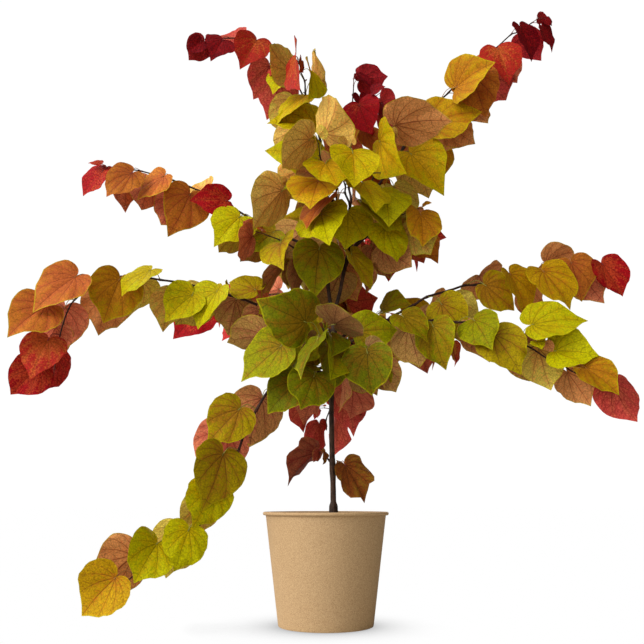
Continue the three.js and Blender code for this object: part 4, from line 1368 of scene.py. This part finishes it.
def bladePart(leaf, slots, ragged, order, cells):
    # a heart-shaped blade: x = radius·sin(angle) and y = radius·cos(angle) from the stalk, with the tip
    # swayed to one side, lifted by z, and its underside a thickness below
    phases, traits = leafThrows(order)
    theta, rho = template["theta"], template["rho"]
    radius = rho * bladeOutline(ragged, phases, traits)
    x, y = radius * np.sin(theta), radius * np.cos(theta)
    x = x + blade["tipSway"] * (2 * traits["sway"] - 1) * smoothStep(*blade["swayFrom"], y)
    z = bladeHeight(x, y, leaf, ragged, phases, traits)
    frameOf = np.stack([leaf["across"], leaf["along"], leaf["face"]])
    upperSide = leaf["base"] + np.stack([x, y, z], -1) @ frameOf * leaf["length"]
    underside = upperSide - np.interp(rho, [0, 1], blade["thick"])[:, None] * leaf["face"]
    flat = np.stack([x, y], -1)
    inTop = cellPlaces(np.concatenate([flat, flat * blade["cellRim"]]), 2 * order[1], cells)
    inBottom = cellPlaces(flat, 2 * order[1] + 1, cells)
    upper, under = slots
    part = makePart(np.concatenate([upperSide, underside]), bladeQuads, quadMap, bladeFans, fanMap)
    part.update(
        quadSlot=np.repeat([upper, under, upper], [len(top), len(top), len(walls)]),
        triangleSlot=np.repeat([upper, under], len(fan)),
        shade=ramp(blade["shade"], traits["shade"]), patched=ramp(blade["patched"], traits["patched"]),
        quadCell=np.concatenate([inTop[top], inBottom[top[:, turned]], inTop[walls]]),
        triangleCell=np.concatenate([inTop[fan], inBottom[fan[:, ::-1]]]))
    return part


def tintOf(leaf, mass):
    place = min(max(round(leaf["tone"]), 0), len(mass["tints"]) - 1)
    return mass["tints"][place]


def addLeaves(number, name, mass, leaves):
    # all blades of a mass in one mesh, with two slots for each tint among them
    tints = [tintOf(leaf, mass) for leaf in leaves]
    used = list(dict.fromkeys(tints))
    cells = math.ceil(math.sqrt(2 * len(leaves)))
    parts = []
    for k, (leaf, tint) in enumerate(zip(leaves, tints)):
        upper = 2 * used.index(tint)
        parts.append(bladePart(leaf, (upper, upper + 1), mass.get("ragged", 0), (number, k), cells))
    mesh = fillMesh(name + "Leaves", parts, "leafMap", True, ["shade", "patched"])
    addPiece(mesh, [leafColours[tint, side] for tint in used for side in ("upper", "under")], name,
             sharp=70)


barkSlots = ["twig", "youngTwig", "stalkGreen", "stalkAmber", "stalkRed"]


def addTwigs(name, mass, leaves):
    # all shoots, finer twigs, buds and stalks of a mass in one mesh
    parts = [part for shoot in shoots[name] for part in twigParts(shoot, mass)]
    for leaf in leaves:
        kind = stalkOf.get(tintOf(leaf, mass), "stalkRed")
        parts.append(stalkPart(leaf, barkSlots.index(kind)))
    addPiece(fillMesh(name + "Twigs", parts, "barkMap"), [barks[key] for key in barkSlots], name)


for number, (name, mass) in enumerate(masses.items()):
    leaves = [leaf for shoot in shoots[name] for leaf in shoot["leaves"]]
    addLeaves(number, name, mass, leaves)
    addTwigs(name, mass, leaves)
print("made: the leaves of", len(masses), "masses with", leafCount * (2 * len(bladeQuads) + len(bladeFans)),
      "triangles, and their twigs and stalks")


# the pot and its filling

pot = {
    # radius and height along the underside, from its middle out to the wall
    "base": [(0, 1.1), (62, 1.1), (64, 0.3), (65, 0), (67.5, 0), (68.4, 0.35), (68.75, 1.3)],
    "footRadius": 68.7,
    "wallTopRadius": 88.7,
    "rimRadius": 93,
    "height": 160,
    "roll": 2.5,  # radius of the rolled rim
    "rollSteps": 15,
    "wall": 1.4,
    "wallFrom": 3,
    "wallGap": 0.3,  # between the wall's last point and the roll
    "outsideSteps": 22,
    "insideSteps": 12,
    "floor": 1.6,
    "corner": 0.8,  # inside, between wall and floor
    "cornerRise": 0.05,
    "sides": 144,
    "seamAt": 97,  # degrees
    "seamWidth": 9,
    "seamFade": 1.2,
    "seamStep": 0.35,
    "uneven": 0.12,
    "unevenFrom": 2,  # height
    "unevenTo": 154.8,
    "unevenWaves": [(0.6, 2, 0.03), (0.4, 3, 0.05)],  # weight, waves round, waves up
    "seed": 3,
    "mixTop": 148,
}


def lathePart(profile, sides, change):
    # a profile of radius and height carried round the upright axis; its first and last points lie on the
    # axis, and change bends the radius and the height at each angle
    angle = anglesRound(sides)[None, :]
    radius, height = change(profile[1:-1, :1], profile[1:-1, 1:], angle)
    rings = np.stack(np.broadcast_arrays(radius * np.cos(angle), radius * np.sin(angle), height), -1)
    v = lengthsAlong(profile)
    v = v / v[-1]
    middles = [[0, 0, profile[0, 1]], [0, 0, profile[-1, 1]]]
    return roundPart(rings, middles, v[1:-1], ((v[0], v[1]), (v[-1], v[-2])))


def wallRadius(level):
    top = pot["height"] - 2 * pot["roll"]
    return pot["footRadius"] + (pot["wallTopRadius"] - pot["footRadius"]) * level / top


def potProfile():
    # from the middle of the underside out, up the wall, round the rolled rim and down the inside
    roll, wall, floor = pot["roll"], pot["wall"], pot["floor"]
    rollFoot = pot["height"] - 2 * roll
    outside = np.linspace(pot["wallFrom"], rollFoot - pot["wallGap"], pot["outsideSteps"])
    inside = np.linspace(rollFoot, floor + pot["corner"], pot["insideSteps"])
    turn = np.radians(np.linspace(-90, 180, pot["rollSteps"]))
    rollMiddle = np.array([pot["rimRadius"] - roll, pot["height"] - roll])
    return np.concatenate([
        pot["base"],
        np.stack([wallRadius(outside), outside], -1),
        rollMiddle + roll * np.stack([np.cos(turn), np.sin(turn)], -1),
        np.stack([wallRadius(inside) - wall, inside], -1),
        [[wallRadius(0) - wall - pot["corner"], floor + pot["cornerRise"]], [0, floor]]])


def potUneven(radius, height, angle):
    # a hand-glued lap stands a paper's thickness proud at the back, and the wall is a little out of round
    away = np.degrees(np.abs((angle - math.radians(pot["seamAt"]) + math.pi) % (2 * math.pi) - math.pi))
    half = pot["seamWidth"] / 2
    lap = pot["seamStep"] * (1 - smoothStep(half, half + pot["seamFade"], away))
    soft = pot["uneven"] * ripple(pot["seed"], pot["unevenWaves"], angle, height) * height / pot["height"]
    isWall = (height > pot["unevenFrom"]) & (height < pot["unevenTo"])
    return radius + np.where(isWall, lap + soft, 0), height


kraft = makeMaterial("kraftPaper", grainGroup, {
    "Main": paint("#ac895e"), "Other": paint("#caaa80"), "Fleck": paint("#94724c"), "Coarse": 900.0,
    "Fine": 650.0, "Fleck Size": 620.0, "Fleck Share": 0.3, "Rough": 0.78}, bump=(0.25, 0.0003))
mesh = fillMesh("paperPot", [lathePart(potProfile(), pot["sides"], potUneven)], "potMap")
addPiece(mesh, [kraft], "pot", sharp=40)

mixGrains = {  # two main colours and the flecks, then how many crumbs, their sizes and how flat they are
    "soil": ("#2a1d14", "#43301f", "#6b4f35", 420, (0.8, 2.6), 0.8),
    "bark": ("#5c3b22", "#7d5433", "#3a2415", 60, (3, 6), 0.3),
    "pale": ("#b8ad98", "#d2c9b6", "#8c806a", 42, (0.8, 1.8), 0.9),
}
mixMaterials = [
    makeMaterial(name + "Mix", grainGroup, {
        "Main": paint(main), "Other": paint(other), "Fleck": paint(fleck), "Coarse": 60.0, "Fine": 1400.0,
        "Fleck Size": 700.0, "Fleck Share": 0.3, "Rough": 0.85}, bump=(0.8, 0.0012))
    for name, (main, other, fleck, *rest) in mixGrains.items()]
mixForm = {
    "rings": 26,
    "sides": 96,
    "inset": 0.35,  # from the pot's wall
    "footInset": 0.6,
    "foot": 1.9,  # height
    "lump": 0.65,
    "lumps": [(0.5, 0.35, 5), (0.5, 0.6, 9), (0.6, 0.17, 3), (0.4, 0.9, 13)],  # weight, out, round
    "lumpSeed": 5,
    "sunk": 0.6,
    "calm": 9,  # radius round the middle that stays level
    "margin": 5,  # from the wall to the outermost crumb
    "crumbRise": 0.3,
    "crumbSeed": 12,
}
crumb = {
    "rows": 4,
    "columns": 7,
    "rough": (0.75, 1.15),
    "narrow": (0.5, 0.9),
    "lying": 0.5,  # a crumb flatter than this lies nearly level
    "tilt": 0.25,
}


def mixBody():
    # a lumpy disc of soil filling the pot: height = top + lump·(ripple − sunk), level round the trunk
    inset = pot["wall"] + mixForm["inset"]
    rings = np.linspace(wallRadius(pot["mixTop"]) - inset, 0, mixForm["rings"])
    foot = wallRadius(pot["floor"]) - inset - mixForm["footInset"]
    top = np.stack([rings, np.full_like(rings, pot["mixTop"])], -1)
    profile = np.concatenate([[[0, mixForm["foot"]], [foot, mixForm["foot"]]], top])

    def lumps(r, z, a):
        bumps = ripple(mixForm["lumpSeed"], mixForm["lumps"], r, a) - mixForm["sunk"]
        isTop = z > pot["mixTop"] / 2
        return r, z + np.where(isTop, mixForm["lump"] * bumps * smoothStep(0, mixForm["calm"], r), 0)

    return lathePart(profile, mixForm["sides"], lumps)


def crumbPart(centre, size, rng, slot, flat):
    # a rough little lump: a sphere of a few faces, pulled out of round and turned any way
    rows, columns = crumb["rows"], crumb["columns"]
    polar, turn = np.linspace(0, math.pi, rows + 2)[1:-1, None], anglesRound(columns)
    ball = np.broadcast_arrays(np.sin(polar) * np.cos(turn), np.sin(polar) * np.sin(turn), -np.cos(polar))
    points = np.concatenate([np.stack(ball, -1).reshape(-1, 3), [[0, 0, -1], [0, 0, 1]]])
    points = points * rng.uniform(*crumb["rough"], (len(points), 1))
    points = points * size * [1, rng.uniform(*crumb["narrow"]), flat]
    spin = rng.normal(size=(3, 3))
    if flat < crumb["lying"]:
        spin = np.eye(3) + rng.normal(size=(3, 3)) * crumb["tilt"]
    axes = np.linalg.qr(spin)[0]
    points = centre + points @ (axes * np.sign(np.linalg.det(axes))).T
    v = np.linspace(0, 1, rows)
    return roundPart(points[:-2].reshape(rows, columns, 3), points[-2:], v, ((0, 0), (1, 1)), slot)


def mixParts():
    # the body, then each kind of crumb strewn evenly over it
    rng = np.random.default_rng(mixForm["crumbSeed"])
    parts = [mixBody()]
    widest = wallRadius(pot["mixTop"]) - mixForm["margin"]
    for slot, (*colours, count, sizes, flat) in enumerate(mixGrains.values()):
        for _ in range(count):
            r, a = widest * math.sqrt(rng.uniform()), rng.uniform(0, 2 * math.pi)
            size = rng.uniform(*sizes)
            level = pot["mixTop"] + size * flat * mixForm["crumbRise"]
            if r + size < widest:
                centre = np.array([r * math.cos(a), r * math.sin(a), level])
                parts.append(crumbPart(centre, size, rng, slot, flat))
    return parts


addPiece(fillMesh("pottingSoil", mixParts(), "mixMap"), mixMaterials, "pottingMix")
print("made: the pot and its filling")


# floor, light and camera

floorLook = {
    "size": 30.0,
    "drop": 0.0005,
    "grey": (0.5, 0.48, 0.43, 1.0),
    "near": 0.16,  # how far the floor looks for something that stands close, for its painted shadow
    "shadow": (0.42, 0.9, 0.55, 1.0),  # painted shadow: two opennesses, then how bright the camera sees the floor at each
    "fade": (0.12, 0.21),  # metres from the pot's axis between which the painted shadow gives way to white
}


def makeFloor():
    # a broad pale sheet; the camera sees it white, with painted soft shadow where things stand close by the
    # pot
    size, level = floorLook["size"], -floorLook["drop"]
    mesh = bpy.data.meshes.new("floor")
    corners = [(-size, -size, level), (size, -size, level), (size, size, level), (-size, size, level)]
    mesh.from_pydata(corners, [], [(0, 1, 2, 3)])
    material = bpy.data.materials.new("paleFloor")
    tree = emptyTree(material)
    plain = tree.get("ShaderNodeBsdfDiffuse", 0, Color=floorLook["grey"])
    openness = tree.get("ShaderNodeAmbientOcclusion", "AO", Distance=floorLook["near"])
    away = tree.get("ShaderNodeVectorMath", "Value", {"operation": "LENGTH"}, Vector=tree.place())
    # painted shadow: the white the camera sees dims where occlusion finds something close, only near the
    # pot's axis
    strength = tree.spread(openness, *floorLook["shadow"])
    strength = tree.largest(strength, tree.spread(away, *floorLook["fade"]))
    glowWithPaintedShadow = tree.get("ShaderNodeEmission", 0, Color=white, Strength=strength)
    tree.add("ShaderNodeOutputMaterial", Surface=tree.byRay(plain, glowWithPaintedShadow))
    mesh.materials.append(material)
    addObject("floor", mesh)


light = {
    "dark": 0.105,
    "bright": 2.2,
    "brightSide": (-1.0, -0.3, 0.4),
    "from": 0.0,  # cosine to the bright side where the dome starts to brighten
    "warm": (1.0, 0.84, 0.56, 1.0),  # the dome's colour on its dark side
    "warmTo": 0.4,
    "seen": 1.02,  # how bright the camera sees the dome
    "areas": [  # place, what it looks at, size, watts
        ((-2.1, -1.5, 1.7), (0.0, 0.0, 0.5), 1.3, 36.0),
        ((0.4, -2.6, 1.3), (0.0, 0.0, 0.5), 1.6, 7.0),
        ((2.2, 0.5, 1.2), (0.0, 0.0, 0.4), 0.8, 0.7),
        ((0.5, 2.6, 1.9), (0.0, 0.0, 0.5), 1.6, 45.0),
    ],
}


def makeWorld():
    # a soft dome: strength = dark + (bright − dark)·smooth rise of the cosine to the bright side; the
    # camera sees it white
    world = bpy.data.worlds.new("studio")
    tree = emptyTree(world)
    brightSide = Vector(light["brightSide"]).normalized()
    product = tree.add("ShaderNodeVectorMath", {"operation": "DOT_PRODUCT"})
    tree.put(product.inputs, (tree.get("ShaderNodeTexCoord", "Generated"), brightSide))
    cosine = Value(tree, product.outputs["Value"])
    strength = tree.spread(cosine, light["from"], 1.0, light["dark"], light["bright"])
    colour = tree.mix(tree.spread(cosine, light["from"], light["warmTo"]), light["warm"], white)
    dome = tree.get("ShaderNodeBackground", 0, Color=colour, Strength=strength)
    seen = tree.get("ShaderNodeBackground", 0, Color=white, Strength=light["seen"])
    tree.add("ShaderNodeOutputWorld", Surface=tree.byRay(dome, seen))
    bpy.context.scene.world = world


def makeLights():
    for i, (place, target, size, watts) in enumerate(light["areas"]):
        data = bpy.data.lights.new(f"softbox{i}", "AREA")
        data.shape, data.size, data.energy = "DISK", size, watts
        lamp = addObject(f"softbox{i}", data)
        lamp.location = place
        lamp.rotation_euler = (Vector(target) - Vector(place)).to_track_quat("-Z", "Y").to_euler()


view = {"place": (-0.0056, -1.25, 0.175), "tilt": 12.3, "lens": 45.98, "sensor": 36.0, "reach": 100}


def makeCamera():
    data = bpy.data.cameras.new("camera")
    data.lens, data.sensor_width, data.clip_end = view["lens"], view["sensor"], view["reach"]
    camera = addObject("camera", data)
    camera.location = view["place"]
    camera.rotation_euler = (math.radians(90 + view["tilt"]), 0, 0)
    bpy.context.scene.camera = camera


makeFloor()
makeWorld()
makeLights()
makeCamera()
bpy.context.scene.view_settings.view_transform = "Standard"
print("made: floor, light and camera")
